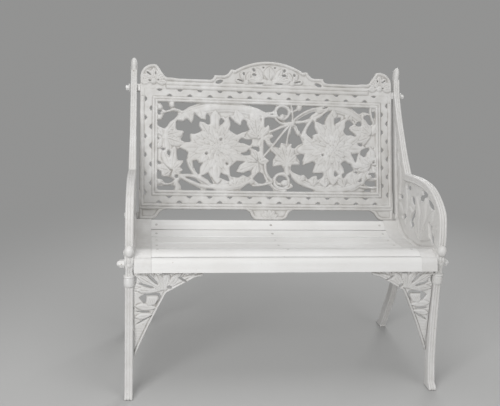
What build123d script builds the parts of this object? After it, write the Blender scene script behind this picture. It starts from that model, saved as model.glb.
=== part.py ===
from build123d import *
import os
from math import cos, floor, radians, sin

os.makedirs("parts", exist_ok=True)

# Garden seat of painted cast iron with a slatted wooden seat, in millimetres.
# +X runs to the right of someone looking at its front, +Y to the back, +Z up.
# The origin is on the floor under the middle of the seat's outer box.
# In the side view y is measured back from the front edge of the seat.

# End castings
FRAME_MID_X = 504.0      # middle plane of each end casting
RAIL_WIDTH = 30.0        # legs, arm and stile across the seat
WEB_WIDTH = 11.0         # pierced leaf web inside the arm
WEB_RELIEF = 4.0         # raised leaves on each side of the web
RIM_DEPTH = 26.0         # arm and stile rim in the side view
POST_DEPTH = 34.0        # stile behind the back
POST_BEHIND = 17.0       # middle of the stile behind the face of the back
POST_LAP = 90.0          # the rear leg runs up inside the stile to this height along the back
POST_TUCK = 8.0          # and is this much narrower where it enters
LEG_DEPTH = 40.0
ANKLE_DEPTH = 32.0
REAR_LEG_DEPTH = 35.0
KNOP_R = 20.0
BUD_R = 14.0
BUD_NECK_R = 11.0
BUD_HEIGHT = 58.0
TOE_Y = -16.0
TOE_REACH = 27.0
TOE_HEIGHT = 24.0
HEEL_Y = 489.0

# Seat
SEAT_Z = 411.0           # underside of the front seat rail
SEAT_RAIL_TOP = 4.0      # end casting's seat rail stands this far above the slats
SEAT_RAIL_LOW = 32.0     # and reaches this far below their tops
FRONT_RAIL_DEPTH = 32.0
FRONT_RAIL_LEAN = 7.0
FRONT_RAIL_ROUND = 14.0  # height of the rounded top of its face
FRONT_RAIL_STEP = 24.0
FRONT_EDGE_Y = -2.0
SLAT_THICKNESS = 20.0
SLAT_GAP = 4.0
SLAT_ROUND = 3.0
BEARER_WIDTH = 53.0
LEDGE_REACH = 36.0
LEDGE_THICKNESS = 8.0
BEARER_LIP = 2.0         # end bearers reach this far below their ledges
MIDDLE_BEARER_WIDTH = 40.0
SEAT_CLEAR = 0.3

# Back
BACK_Y = 407.6           # face of the back at its foot, level with BACK_RISE over SEAT_Z
BACK_RISE = 32.0
RECLINE = 17.9
PLATE = 9.0
PANEL_GAP = 8.0          # between the back and each stile
PANEL_FOOT = 22.0
LOW_EDGE = 60.0
LOW_RAIL = 20.0
SIDE_RIM = 15.0
BORDER = 31.0
MOULDING = 19.0
WINDOW_HEIGHT = 326.0
TOP_RAIL = 39.0
POST_TOP = 575.0
LUG = 26.0
LUG_REACH = 34.0

# Heights of the back's relief over its rear face
LEAF_H = 11.5
PETAL_H = 13.5
MOULDING_H = 13.0
BERRY_H = 15.0
CORONA_H = 17.0
CENTRE_H = 20.0
BERRY_TAPER = 18.0
CENTRE_TAPER = 15.0

# Border piercings
PIERCE_PITCH = 74.6
PIERCE_PITCH_SIDE = 69.0
PIERCE_LENGTH = 27.0
PIERCE_WIDTH = 9.0
PIERCE_ROW = 8.5         # each row from the middle of the border

# Leaf brackets
BRACKET_Y = 20.0         # face of each bracket
BRACKET_THICKNESS = 9.0
BRACKET_RIB = 3.0
VEIN_WIDTH = 9.0
FLANGE_DEPTH = 13.0
FLANGE_THICKNESS = 8.0
TAB_THICKNESS = 7.0      # tabs under the front seat rail
TAB_WIDTH = 20.0
TAB_DEPTH = 12.0
KNOP_CLEAR = 3.0

# Fasteners
ROD_D = 12.0
ROD_Y = 40.0
ROD_RISE = 17.0
ROD_THREAD = 11.0
NUT_AF = 22.0
NUT_HEIGHT = 12.0
NUT_DOME_R = 9.0
WASHER_D = 30.0
WASHER_THICKNESS = 3.0
BACK_BOLT_D = 10.0
BACK_BOLT_AF = 17.0
BACK_BOLT_HEAD = 11.0
BACK_BOLT_GRIP = 26.0
BEARER_BOLT_D = 8.0
BEARER_BOLT_AF = 14.0
BEARER_BOLT_HEAD = 6.0
BEARER_BOLT_GRIP = 30.0
SCREW_D = 5.0
SCREW_HEAD_D = 9.0
SCREW_HEAD = 3.0
SCREW_GRIP = 18.0
HOLE_CLEAR = 0.3         # radial room around every fastener
HOLE_END = 1.0           # room past the end of a fastener in a blind hole

# Values that follow from the ones above
FRAME_INNER_X = FRAME_MID_X - RAIL_WIDTH / 2
FRAME_OUTER_X = FRAME_MID_X + RAIL_WIDTH / 2
SLAT_END_X = FRAME_INNER_X - BEARER_WIDTH
PANEL_HALF = FRAME_INNER_X - PANEL_GAP
WINDOW_HALF = PANEL_HALF - SIDE_RIM - BORDER - MOULDING
WINDOW_LOW = LOW_EDGE + LOW_RAIL + BORDER + MOULDING
WINDOW_TOP = WINDOW_LOW + WINDOW_HEIGHT
PANEL_TOP = WINDOW_TOP + MOULDING + BORDER + TOP_RAIL
LEDGE_TOP = SLAT_THICKNESS + SEAT_CLEAR
BEARER_DEPTH = LEDGE_TOP + LEDGE_THICKNESS
LEAN = radians(RECLINE)


def back_point(s, behind):
    """Side view point at height s along the back and a distance behind its face."""
    y = BACK_Y + s * sin(LEAN) + behind * cos(LEAN)
    z = SEAT_Z + BACK_RISE + s * cos(LEAN) - behind * sin(LEAN)
    return (y, z)


BUD_Y, BUD_Z = back_point(POST_TOP, POST_BEHIND)
REAR_Y = max(BUD_Y + BUD_R, back_point(POST_TOP, POST_BEHIND + POST_DEPTH / 2)[0])
FRONT_OFFSET = (TOE_REACH - TOE_Y - REAR_Y) / 2
BACK_PLANE = Plane(
    origin=(0, FRONT_OFFSET + BACK_Y, SEAT_Z + BACK_RISE),
    x_dir=(1, 0, 0),
    z_dir=(0, -cos(LEAN), sin(LEAN)),
)
BACK_REAR = BACK_PLANE.offset(-PLATE)

# Side view outlines: y from the front edge, and height over SEAT_Z
ARM = [(33, 45), (29, 102), (34, 132), (46, 171), (68, 195), (104, 218), (147, 235), (207, 243),
       (290, 241), (385, 232)]
STILE_RIM = [(374, 238), (417, 284), (468, 351), (519, 420), (554, 475), (580, 524), (597, 562)]
# Legs: y, then height as a share of SEAT_Z
FRONT_LEG = [(36, 1.14), (37, 0.81), (34, 0.69), (25, 0.525), (17, 0.358), (6, 0.19), (-7, 0.07),
             (-15, -0.02)]
REAR_LEG = [(398, 1.0), (377, 0.895), (371, 0.80), (383, 0.657), (403, 0.453), (431, 0.287), (461, 0.136),
            (491, -0.02)]
KNOPS = [(26, -33), (15, 75)]
# Top of the slats: y, and height over SEAT_Z; the joints between slats are at the listed places
SEAT_CURVE = [(22, 42), (40, 53), (58, 56), (80, 53), (106, 45), (150, 31), (190, 21), (247, 18), (318, 18),
              (364, 31), (402, 58)]
SLAT_JOINTS = [0, 4, 6, 7, 8, 9, 10]
# Gaps of the leaf web: y, height over SEAT_Z, length, width, turn
WEB_GAPS = [(192, 213, 42, 11, 6), (136, 189, 56, 14, 18), (212, 192, 46, 15, -12), (285, 164, 44, 18, 22),
            (273, 109, 70, 19, -57), (268, 78, 34, 10, -25), (42, 107, 42, 9, 72), (104, 97, 74, 18, 52),
            (408, 255, 32, 12, 32), (405, 152, 30, 9, -8), (352, 88, 32, 12, -25), (448, 88, 30, 10, 72),
            (462, 300, 34, 10, 56), (340, 200, 34, 10, -10)]
# Raised leaves of the web: base, tip, width
WEB_LEAVES = [((190, 45), (62, 128), 38), ((190, 45), (96, 182), 40), ((190, 50), (180, 208), 46),
              ((195, 48), (262, 190), 44), ((200, 45), (318, 140), 44), ((330, 60), (420, 128), 36),
              ((335, 62), (372, 214), 42), ((420, 130), (448, 262), 38), ((440, 200), (500, 352), 34)]

# Flower panel, drawn on a window of this size and spread over the real one: x and height along the back
DRAWN_HALF = 416.0
DRAWN_LOW = 130.0
DRAWN_HEIGHT = 326.0
FLOWERS = [(-200, 292), (241, 292)]
PETALS = 12
PETAL_TURN = 2.0
PETAL_TIP_R = 134.0
PETAL_NOTCH_R = 88.0
PETAL_BULGE = 5.0
CORONA_R = 52.0
CORONA_BAND = 10.0
CENTRE_R = 20.0
# Leaf lobes: base, tip, width
LOBES = [
    ((-335, 418), (-325, 384), 28), ((-305, 428), (-293, 378), 28), ((-262, 436), (-248, 390), 36),
    ((-128, 436), (-106, 372), 42), ((-48, 335), (-92, 404), 36), ((-48, 335), (-58, 452), 44),
    ((-48, 335), (6, 426), 36), ((-45, 325), (2, 380), 28), ((-40, 330), (-84, 350), 24),
    ((-32, 326), (20, 336), 24), ((-28, 318), (13, 308), 22), ((-45, 236), (-128, 200), 36),
    ((-45, 240), (-114, 262), 30), ((-45, 244), (-72, 296), 24), ((-40, 240), (-30, 330), 30),
    ((-42, 240), (1, 245), 28), ((-45, 238), (-58, 178), 30), ((-132, 146), (-110, 186), 40),
    ((-92, 152), (-94, 194), 34), ((-62, 165), (-62, 206), 30), ((-120, 146), (-154, 168), 26),
    ((-395, 330), (-336, 408), 40), ((-395, 330), (-317, 350), 40), ((-398, 326), (-318, 302), 40),
    ((-398, 330), (-426, 374), 34), ((-400, 322), (-428, 286), 36), ((-362, 205), (-319, 240), 32),
    ((-362, 202), (-319, 207), 26), ((-364, 205), (-354, 292), 38), ((-366, 205), (-396, 280), 34),
    ((-370, 202), (-428, 214), 40), ((-366, 202), (-402, 178), 30), ((-360, 202), (-348, 172), 26),
    ((66, 232), (13, 221), 36), ((66, 232), (6, 296), 40), ((66, 232), (42, 317), 34),
    ((66, 232), (88, 315), 34), ((66, 232), (106, 270), 32), ((66, 232), (119, 231), 32),
    ((395, 350), (311, 373), 40),
    ((395, 352), (334, 404), 34), ((398, 352), (362, 432), 36), ((395, 345), (326, 318), 42),
    ((400, 350), (428, 396), 30), ((395, 235), (352, 270), 40), ((395, 235), (342, 244), 36),
    ((395, 232), (344, 214), 34), ((398, 238), (392, 304), 38), ((402, 236), (428, 262), 34),
    ((400, 230), (428, 202), 30), ((108, 166), (131, 198), 34), ((166, 152), (172, 194), 44),
    ((214, 148), (212, 186), 40), ((286, 148), (276, 196), 40), ((330, 152), (318, 208), 50),
    ((350, 160), (362, 206), 36), ((318, 432), (300, 404), 34), ((250, 446), (240, 404), 40)]
# Gaps between the stems, leaves and petals: corners in turn
PANEL_GAPS = [
    [(-418, 457), (-378, 457), (-377, 441), (-368, 431), (-386, 424), (-397, 428), (-398, 441),
     (-406, 450)],
    [(-418, 425), (-401, 424), (-396, 418), (-404, 410), (-418, 409)],
    [(-394, 414), (-383, 417), (-360, 421), (-343, 419), (-344, 408), (-356, 394), (-372, 383),
     (-383, 365), (-392, 358), (-403, 361), (-418, 368), (-418, 388), (-401, 388), (-395, 400)],
    [(-355, 457), (-264, 456), (-300, 442), (-322, 427), (-330, 425), (-343, 428), (-352, 432),
     (-354, 445)],
    [(-348, 383), (-344, 388), (-320, 385), (-311, 396), (-305, 394), (-295, 380), (-288, 381),
     (-283, 398), (-281, 418), (-270, 405), (-257, 395), (-237, 392), (-238, 410), (-233, 417),
     (-225, 410), (-224, 377), (-232, 376), (-246, 385), (-263, 388), (-266, 372), (-255, 353),
     (-266, 346), (-282, 340), (-298, 342), (-298, 325), (-294, 311), (-305, 309), (-320, 310),
     (-332, 317), (-324, 331), (-318, 349), (-330, 352), (-348, 353)],
    [(-181, 402), (-170, 390), (-177, 382), (-188, 372), (-187, 392)],
    [(-150, 411), (-145, 400), (-128, 385), (-107, 373), (-104, 390), (-98, 398), (-86, 392), (-86, 380),
     (-76, 360), (-84, 355), (-102, 350), (-124, 340), (-152, 357), (-146, 372), (-147, 390), (-152, 398)],
    [(-98, 457), (30, 457), (22, 448), (19, 437), (8, 430), (-2, 431), (-14, 426), (-24, 432), (-40, 441),
     (-70, 450)],
    [(-32, 400), (-2, 409), (8, 424), (15, 424), (24, 411), (38, 400), (55, 387), (30, 372), (6, 357),
     (3, 372), (-4, 382), (-16, 369), (-25, 384)],
    [(-114, 318), (-104, 328), (-88, 322), (-64, 325), (-66, 310), (-74, 300), (-96, 309), (-114, 310)],
    [(-68, 291), (-60, 297), (-40, 297), (-38, 282), (-42, 277), (-52, 285)],
    [(-106, 270), (-86, 275), (-78, 285), (-72, 280), (-72, 266), (-86, 264), (-104, 265)],
    [(-27, 306), (-21, 320), (-16, 318), (-12, 308), (2, 294), (0, 286), (-20, 263), (-24, 282)],
    [(-421, 321), (-415, 327), (-409, 322), (-412, 316), (-419, 316)],
    [(-405, 283), (-396, 285), (-388, 282), (-392, 277), (-401, 277)],
    [(-380, 272), (-374, 278), (-369, 270), (-373, 252), (-379, 262)],
    [(-424, 242), (-415, 239), (-402, 231), (-402, 227), (-422, 226)],
    [(-344, 282), (-335, 285), (-320, 280), (-305, 270), (-310, 246), (-307, 236), (-298, 224),
     (-294, 205), (-289, 192), (-298, 188), (-325, 187), (-332, 195), (-321, 204), (-333, 215),
     (-321, 232), (-320, 241), (-342, 241), (-345, 262)],
    [(-286, 238), (-274, 241), (-268, 239), (-266, 229), (-252, 231), (-262, 215), (-262, 193),
     (-267, 189), (-276, 201), (-284, 220)],
    [(-423, 205), (-403, 198), (-402, 180), (-370, 177), (-353, 168), (-359, 158), (-372, 154),
     (-393, 159), (-396, 168), (-410, 172), (-423, 171)],
    [(-352, 183), (-345, 188), (-338, 184), (-341, 177), (-351, 175)],
    [(-423, 148), (-411, 145), (-395, 146), (-357, 148), (-353, 142), (-356, 131), (-423, 131)],
    [(-339, 160), (-332, 172), (-322, 170), (-302, 157), (-282, 147), (-258, 137), (-256, 131),
     (-330, 131), (-328, 143)],
    [(-312, 178), (-296, 180), (-282, 179), (-265, 164), (-248, 151), (-262, 149), (-288, 159)],
    [(-254, 184), (-240, 188), (-229, 196), (-224, 184), (-210, 156), (-220, 154), (-228, 169),
     (-248, 180)],
    [(-187, 178), (-181, 196), (-172, 190), (-158, 186), (-152, 175), (-150, 165), (-160, 167),
     (-172, 173)],
    [(-148, 218), (-122, 240), (-94, 239), (-112, 228), (-119, 214), (-128, 200), (-100, 196), (-72, 207),
     (-69, 192), (-82, 182), (-100, 191), (-117, 180), (-146, 183), (-148, 200)],
    [(-60, 177), (-50, 190), (-36, 201), (-25, 196), (-12, 166), (-24, 158), (-42, 160), (-58, 172)],
    [(-15, 262), (5, 280), (14, 276), (24, 265), (14, 250), (12, 222), (45, 227), (52, 220), (58, 205),
     (40, 200), (22, 190), (6, 171), (-4, 172), (-7, 195), (-9, 232), (-2, 240), (1, 245), (-4, 249),
     (-12, 253)],
    [(-237, 136), (-228, 139), (-204, 133), (-202, 131), (-236, 131)],
    [(-112, 132), (-104, 139), (-84, 154), (-74, 158), (-66, 150), (-58, 145), (-40, 150), (-12, 155),
     (2, 152), (12, 140), (17, 131), (-100, 130)],
    [(28, 436), (34, 446), (46, 452), (60, 452), (70, 444), (74, 433), (72, 421), (62, 419), (52, 424),
     (44, 422), (40, 416), (37, 409), (30, 414), (27, 425)],
    [(56, 397), (66, 402), (77, 413), (83, 424), (86, 423), (89, 410), (90, 398), (84, 395), (62, 394)],
    [(73, 457), (104, 457), (103, 445), (97, 438), (90, 438), (84, 442), (76, 451)],
    [(128, 457), (196, 456), (170, 447), (140, 432), (115, 415), (98, 404), (94, 412), (92, 430),
     (105, 434), (120, 436), (127, 444)],
    [(205, 456), (226, 457), (222, 451), (211, 448), (206, 451)],
    [(105, 399), (118, 408), (140, 422), (165, 434), (182, 438), (180, 433), (165, 424), (154, 410),
     (130, 401)],
    [(180, 398), (195, 408), (208, 418), (216, 430), (230, 438), (239, 440), (236, 433), (227, 424),
     (218, 415), (214, 400), (214, 388), (208, 386), (200, 391), (190, 396)],
    [(8, 349), (66, 377), (62, 371), (40, 345), (20, 318), (13, 309), (6, 316), (4, 328), (18, 334),
     (14, 341)],
    [(76, 373), (70, 365), (45, 334), (24, 306), (20, 300), (26, 297), (40, 295), (42, 310), (45, 315),
     (60, 310), (64, 309), (68, 330), (78, 362)],
    [(86, 372), (95, 373), (98, 362), (100, 350), (106, 342), (118, 340), (122, 330), (129, 315),
     (110, 306), (98, 294), (91, 292), (85, 298), (88, 312), (82, 312), (73, 308), (75, 330), (85, 358)],
    [(100, 387), (115, 388), (135, 391), (141, 388), (142, 380), (134, 368), (130, 354), (124, 347),
     (119, 352), (118, 360), (108, 363), (100, 373)],
    [(168, 402), (174, 392), (174, 375), (180, 362), (186, 353), (170, 347), (164, 342), (168, 336),
     (164, 329), (160, 335), (150, 343), (142, 351), (148, 370), (158, 390)],
    [(253, 409), (262, 414), (278, 417), (279, 408), (268, 398), (257, 392), (254, 386)],
    [(297, 398), (303, 404), (312, 406), (318, 402), (331, 391), (325, 387), (315, 384), (308, 373),
     (318, 362), (338, 347), (334, 343), (318, 350), (304, 347), (298, 350), (288, 363), (295, 378)],
    [(336, 391), (345, 400), (356, 401), (360, 394), (358, 385), (350, 383), (338, 387)],
    [(320, 456), (394, 456), (397, 440), (393, 434), (376, 440), (366, 440), (352, 432), (345, 434),
     (330, 446)],
    [(368, 416), (376, 426), (388, 430), (396, 424), (402, 410), (404, 395), (396, 387), (387, 393),
     (377, 408)],
    [(402, 440), (408, 443), (414, 443), (413, 420), (409, 413), (404, 420)],
    [(344, 316), (352, 318), (360, 318), (363, 312), (358, 306), (350, 308)],
    [(405, 300), (408, 305), (411, 301), (408, 293)],
    [(354, 280), (360, 292), (372, 297), (386, 303), (390, 301), (388, 292), (378, 280), (374, 266),
     (368, 265), (358, 272)],
    [(318, 277), (328, 275), (345, 279), (340, 262), (337, 243), (334, 243), (328, 258)],
    [(403, 246), (408, 252), (410, 244), (406, 241)],
    [(278, 237), (286, 246), (296, 247), (302, 240), (315, 237), (322, 225), (328, 214), (312, 206),
     (302, 202), (296, 196), (290, 185), (284, 182), (282, 197), (292, 202), (288, 220)],
    [(331, 208), (338, 211), (345, 206), (340, 202), (333, 203)],
    [(103, 265), (111, 270), (135, 272), (133, 264), (128, 252), (127, 229), (150, 237), (165, 243),
     (172, 242), (176, 235), (172, 225), (168, 212), (164, 201), (190, 199), (205, 203), (207, 198),
     (206, 188), (196, 180), (186, 174), (184, 182), (186, 190), (176, 192), (164, 188), (156, 182),
     (148, 175), (143, 185), (132, 196), (120, 190), (105, 197), (90, 203), (82, 212), (86, 230),
     (118, 231), (117, 246)],
    [(250, 196), (253, 210), (260, 202), (268, 196), (254, 187)],
    [(345, 172), (352, 178), (357, 182), (358, 172), (350, 168)],
    [(384, 200), (398, 204), (413, 204), (413, 188), (404, 180), (402, 190), (394, 197)],
    [(372, 165), (374, 175), (380, 175), (395, 172), (413, 173), (413, 153), (390, 151), (373, 158)],
    [(364, 133), (372, 140), (384, 145), (393, 144), (396, 136), (390, 132)],
    [(28, 180), (34, 190), (46, 193), (60, 188), (69, 178), (66, 173), (54, 174), (46, 168), (40, 161),
     (32, 164), (27, 172)],
    [(4, 161), (14, 169), (18, 165), (26, 156), (40, 153), (58, 148), (56, 143), (40, 138), (24, 142),
     (12, 152)],
    [(73, 190), (76, 198), (80, 194), (84, 182), (95, 170), (110, 158), (135, 147), (155, 141), (172, 134),
     (165, 130), (60, 130), (68, 138), (76, 142), (90, 143), (91, 152), (84, 160), (79, 163), (78, 175)]]
# Pin holes in the flowers
PIN_HOLES = [(-183, 320), (-237, 267), (-160, 230), (205, 270)]
PIN_HOLE_R = 3.5
# Berries: x, height, radius
BERRIES = [(-410, 437, 12), (-364, 448, 12), (-408, 398, 12), (-410, 163, 13), (47, 411, 12), (58, 164, 14),
           (85, 150, 9), (110, 350, 12), (116, 448, 13), (386, 193, 14), (85, 390, 15)]

# Crest and ears, over the top of the rail: distances out from the middle, or in from the side, then heights
CREST_RISE = 77.0
CREST_HALF = 132.0
CREST_SHOULDER = 39.0
CREST_STEP = 18.0
CREST_STEP_OUT = 210.0
CREST_STEP_IN = 176.0
CREST_FOOT = 226.0
NUB = 18.0
NUB_RISE = 3.0
EAR_R = 48.0
EAR_RISE = 3.0
EAR_TOE = 140.0
DROP_HALF = 45.0
SLOT_INNER = 95.0
SLOT_OUTER = 101.0       # in from the side
SLOT_FLARE = 40.0
# Gaps in the crest: x, height over the rail, length, width, turn; each is mirrored
CREST_GAPS = [(97, 27, 13, 8, 90), (59, 43, 14, 10, 60), (57, 24, 17, 9, 5), (22, 53, 9, 7, 30),
              (37, -8, 34, 5, 0), (110, 1, 30, 5, 14), (190, -7, 30, 12, -18)]

# Leaf brackets: distance in from the end casting, and height over SEAT_Z
BRACKET_TIP = (213, -19)
BRACKET_LIP = (189, -24)
BRACKET_KNEE = (101, -74)
BRACKET_WAIST = (52, -176)
BRACKET_TAIL = (3, -293)
BRACKET_TOP = 200.0
# Gaps: in from the end casting, height over SEAT_Z, length, width, turn
BRACKET_GAPS = [(57, -30, 46, 7, 44), (36, -50, 50, 7, 16), (110, -56, 14, 9, 25), (99, -8, 40, 7, 0),
                (29, -138, 48, 4, 3), (31, -166, 58, 4, -32), (150, -30, 30, 5, 30)]
# Eye, and the bud that stands in it and meets the plate below
BRACKET_EYE = [(15, -91), (34, -78), (79, -76), (84, -89), (69, -111), (29, -108)]
BRACKET_BUD = [(38, -83), (75, -83), (78, -92), (66, -114), (44, -117), (36, -107)]
# Veins: from, to
BRACKET_VEINS = [((92, -64), (184, -26)), ((92, -66), (128, -16)), ((90, -66), (70, -14)),
                 ((88, -64), (24, -38)), ((68, -124), (18, -128)), ((52, -150), (14, -156)),
                 ((40, -190), (14, -186)), ((30, -222), (12, -216))]
BRACKET_TABS = [75, 165]
FLANGE_TOP = -110.0
FLANGE_LOW = -190.0
FLANGE_SCREWS = [-130, -172]
BEARER_BOLTS = [0.28, 0.78]  # shares of the seat curve's length
BACK_BOLTS = {"lower": 38.0, "upper": 508.0}  # heights along the back
SIDES = {"left": -1, "right": 1}
QUARTER = 90             # quarter turn, in degrees


def side_plane(x):
    """Plane of the side view at one place across the seat."""
    return Plane(origin=(x, FRONT_OFFSET, 0), x_dir=(0, 1, 0), z_dir=(1, 0, 0))


def front_plane(y):
    """Plane of the front view, facing the front, at one depth."""
    return Plane(origin=(0, FRONT_OFFSET + y, 0), x_dir=(1, 0, 0), z_dir=(0, -1, 0))


def over_seat(points):
    """Points of the side view from heights over the seat."""
    return [(y, SEAT_Z + rise) for y, rise in points]


def spot(x, s):
    """Place in the flower panel, spread from the drawing over the real window."""
    return Vector(x * WINDOW_HALF / DRAWN_HALF, WINDOW_LOW + (s - DRAWN_LOW) * WINDOW_HEIGHT / DRAWN_HEIGHT)


def lobe(base, tip, width):
    """Leaf lobe: two arcs that meet at the base and at the tip."""
    start, end = Vector(*base), Vector(*tip)
    middle = (start + end) / 2
    side = (end - start).normalized().rotate(Axis.Z, QUARTER) * (width / 2)
    with BuildSketch(Plane.XY) as leaf:
        with BuildLine():
            ThreePointArc(start, middle + side, end)
            ThreePointArc(end, middle - side, start)
        make_face()
    return leaf.sketch


def band(points, depths):
    """Rail in the side view: a smooth centre line with a depth at each point."""
    centre = Spline(*points, mode=Mode.PRIVATE)
    upper, lower = [], []
    for point, depth in zip(points, depths):
        along = centre % centre.param_at_point(Vector(*point))
        out = Vector(-along.Y, along.X) * (depth / 2)
        upper.append(Vector(*point) + out)
        lower.append(Vector(*point) - out)
    with BuildSketch(Plane.XY) as rail:
        with BuildLine():
            Spline(*upper)
            Line(upper[-1], lower[-1])
            Spline(*reversed(lower))
            Line(lower[0], upper[0])
        make_face()
    return rail.sketch


SEAT_TOP = Spline(*over_seat(SEAT_CURVE), mode=Mode.PRIVATE)
JOINT_SHARES = [SEAT_TOP.param_at_point(Vector(*over_seat(SEAT_CURVE)[index])) for index in SLAT_JOINTS]
HALF_GAP = SLAT_GAP / 2 / SEAT_TOP.length
BAND_STEPS = 6
LONG_STEPS = BAND_STEPS * len(SLAT_JOINTS)


def seat_point(share, below):
    """Side view point a distance below the top of the slats."""
    point, along = SEAT_TOP @ share, SEAT_TOP % share
    return Vector(point.X + along.Y * below, point.Y - along.X * below)


def seat_band(start, end, top, low, steps=BAND_STEPS):
    """Outline along the seat curve between two depths below its top."""
    shares = [start + (end - start) * step / steps for step in range(steps + 1)]
    upper = [seat_point(share, top) for share in shares]
    lower = [seat_point(share, low) for share in shares]
    with BuildSketch(Plane.XY) as strip:
        with BuildLine():
            Spline(*upper)
            Line(upper[-1], lower[-1])
            Spline(*reversed(lower))
            Line(lower[0], upper[0])
        make_face()
    return strip.sketch


def slat_plane(start, end, x):
    """Plane on the top of a slat, at the middle of its width."""
    share = (start + end) / 2
    point, along = SEAT_TOP @ share, SEAT_TOP % share
    return Plane(
        origin=(x, FRONT_OFFSET + point.X, point.Y),
        x_dir=(1, 0, 0),
        z_dir=(0, -along.Y, along.X),
    )


SLATS = [
    (start + HALF_GAP, end - HALF_GAP) for start, end in zip(JOINT_SHARES[:-1], JOINT_SHARES[1:])
]
LEDGE_X = SLAT_END_X - LEDGE_REACH / 2
SCREW_LENGTH = SLAT_THICKNESS + SEAT_CLEAR + LEDGE_THICKNESS


UPWARD = (Align.CENTER, Align.CENTER, Align.MIN)
DOWNWARD = (Align.CENTER, Align.CENTER, Align.MAX)


def along_x(x, y, z, side=1):
    """Plane across the seat at a side view point, facing one side."""
    return Plane(origin=(x, FRONT_OFFSET + y, z), z_dir=(side, 0, 0))


def front_rail_section(back):
    """Outline of the front seat rail: leaning face, rounded top, then the given points down its back."""
    foot = Vector(FRONT_EDGE_Y, SEAT_Z)
    back_top = Vector(*over_seat(SEAT_CURVE)[0])
    face_top = Vector(FRONT_EDGE_Y + FRONT_RAIL_LEAN, back_top.Y - FRONT_RAIL_ROUND)
    with BuildSketch(Plane.XY) as section:
        with BuildLine():
            face = Line(foot, face_top)
            TangentArc(face_top, back_top, tangent=face % 1)
            Polyline(back_top, *back, (FRONT_EDGE_Y + FRONT_RAIL_DEPTH, SEAT_Z), foot)
        make_face()
    return section.sketch


def bracket_spot(inset, rise):
    """Front view place in from the right end casting and over the front rail's underside."""
    return (FRAME_INNER_X - inset, SEAT_Z + rise)


def hex_bolt(x, y, z, side, size, length, head_af, head):
    """Bolt along X whose head bears on the plane at x and faces one side."""
    with BuildPart() as piece:
        with BuildSketch(side_plane(x)):
            with Locations((y, z)):
                RegularPolygon(head_af / 2, 6, major_radius=False)
        extrude(amount=side * head)
        with BuildSketch(side_plane(x)):
            with Locations((y, z)):
                Circle(size / 2)
        extrude(amount=-side * length)
    return piece.part


def washer(x, y, z, side, bolt_d):
    """Round washer on the outside of an end casting."""
    with BuildPart() as piece:
        with BuildSketch(side_plane(x)):
            with Locations((y, z)):
                Circle(WASHER_D / 2)
                Circle(bolt_d / 2 + HOLE_CLEAR, mode=Mode.SUBTRACT)
        extrude(amount=side * WASHER_THICKNESS)
    return piece.part


ROD_Z = SEAT_Z + ROD_RISE
NUT_X = FRAME_OUTER_X + WASHER_THICKNESS
TAB_SCREW_Y = BRACKET_Y - TAB_DEPTH / 2
FLANGE_SCREW_Y = BRACKET_Y + BRACKET_THICKNESS + FLANGE_DEPTH / 2
BEARER_BOLT_POINTS = [seat_point(share, BEARER_DEPTH / 2) for share in BEARER_BOLTS]

# Right end casting
FRONT_LEG_DEPTHS = [LEG_DEPTH] * 3 + [ANKLE_DEPTH] * (len(FRONT_LEG) - 3)
REAR_LEG_DEPTHS = [POST_DEPTH / 2, POST_DEPTH - POST_TUCK] + [REAR_LEG_DEPTH] * len(REAR_LEG)
arm_line = over_seat(ARM)
stile_line = over_seat(STILE_RIM)
post_line = [back_point(PANEL_FOOT, POST_BEHIND), back_point(POST_TOP, POST_BEHIND)]
front_leg_line = [(y, SEAT_Z * share) for y, share in FRONT_LEG]
rear_leg_line = [back_point(POST_LAP, POST_BEHIND), post_line[0]]
rear_leg_line += [(y, SEAT_Z * share) for y, share in REAR_LEG]
seat_line = [seat_point(share / BAND_STEPS, SEAT_RAIL_LOW / 2) for share in range(BAND_STEPS, -1, -1)]
web_line = arm_line + stile_line + post_line[::-1] + [(point.X, point.Y) for point in seat_line]
rails = [
    band(front_leg_line, FRONT_LEG_DEPTHS),
    band(rear_leg_line, REAR_LEG_DEPTHS),
    band(arm_line, [RIM_DEPTH] * len(arm_line)),
    band(stile_line, [RIM_DEPTH] * len(stile_line)),
    seat_band(0, 1, -SEAT_RAIL_TOP, SEAT_RAIL_LOW, LONG_STEPS),
]
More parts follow.
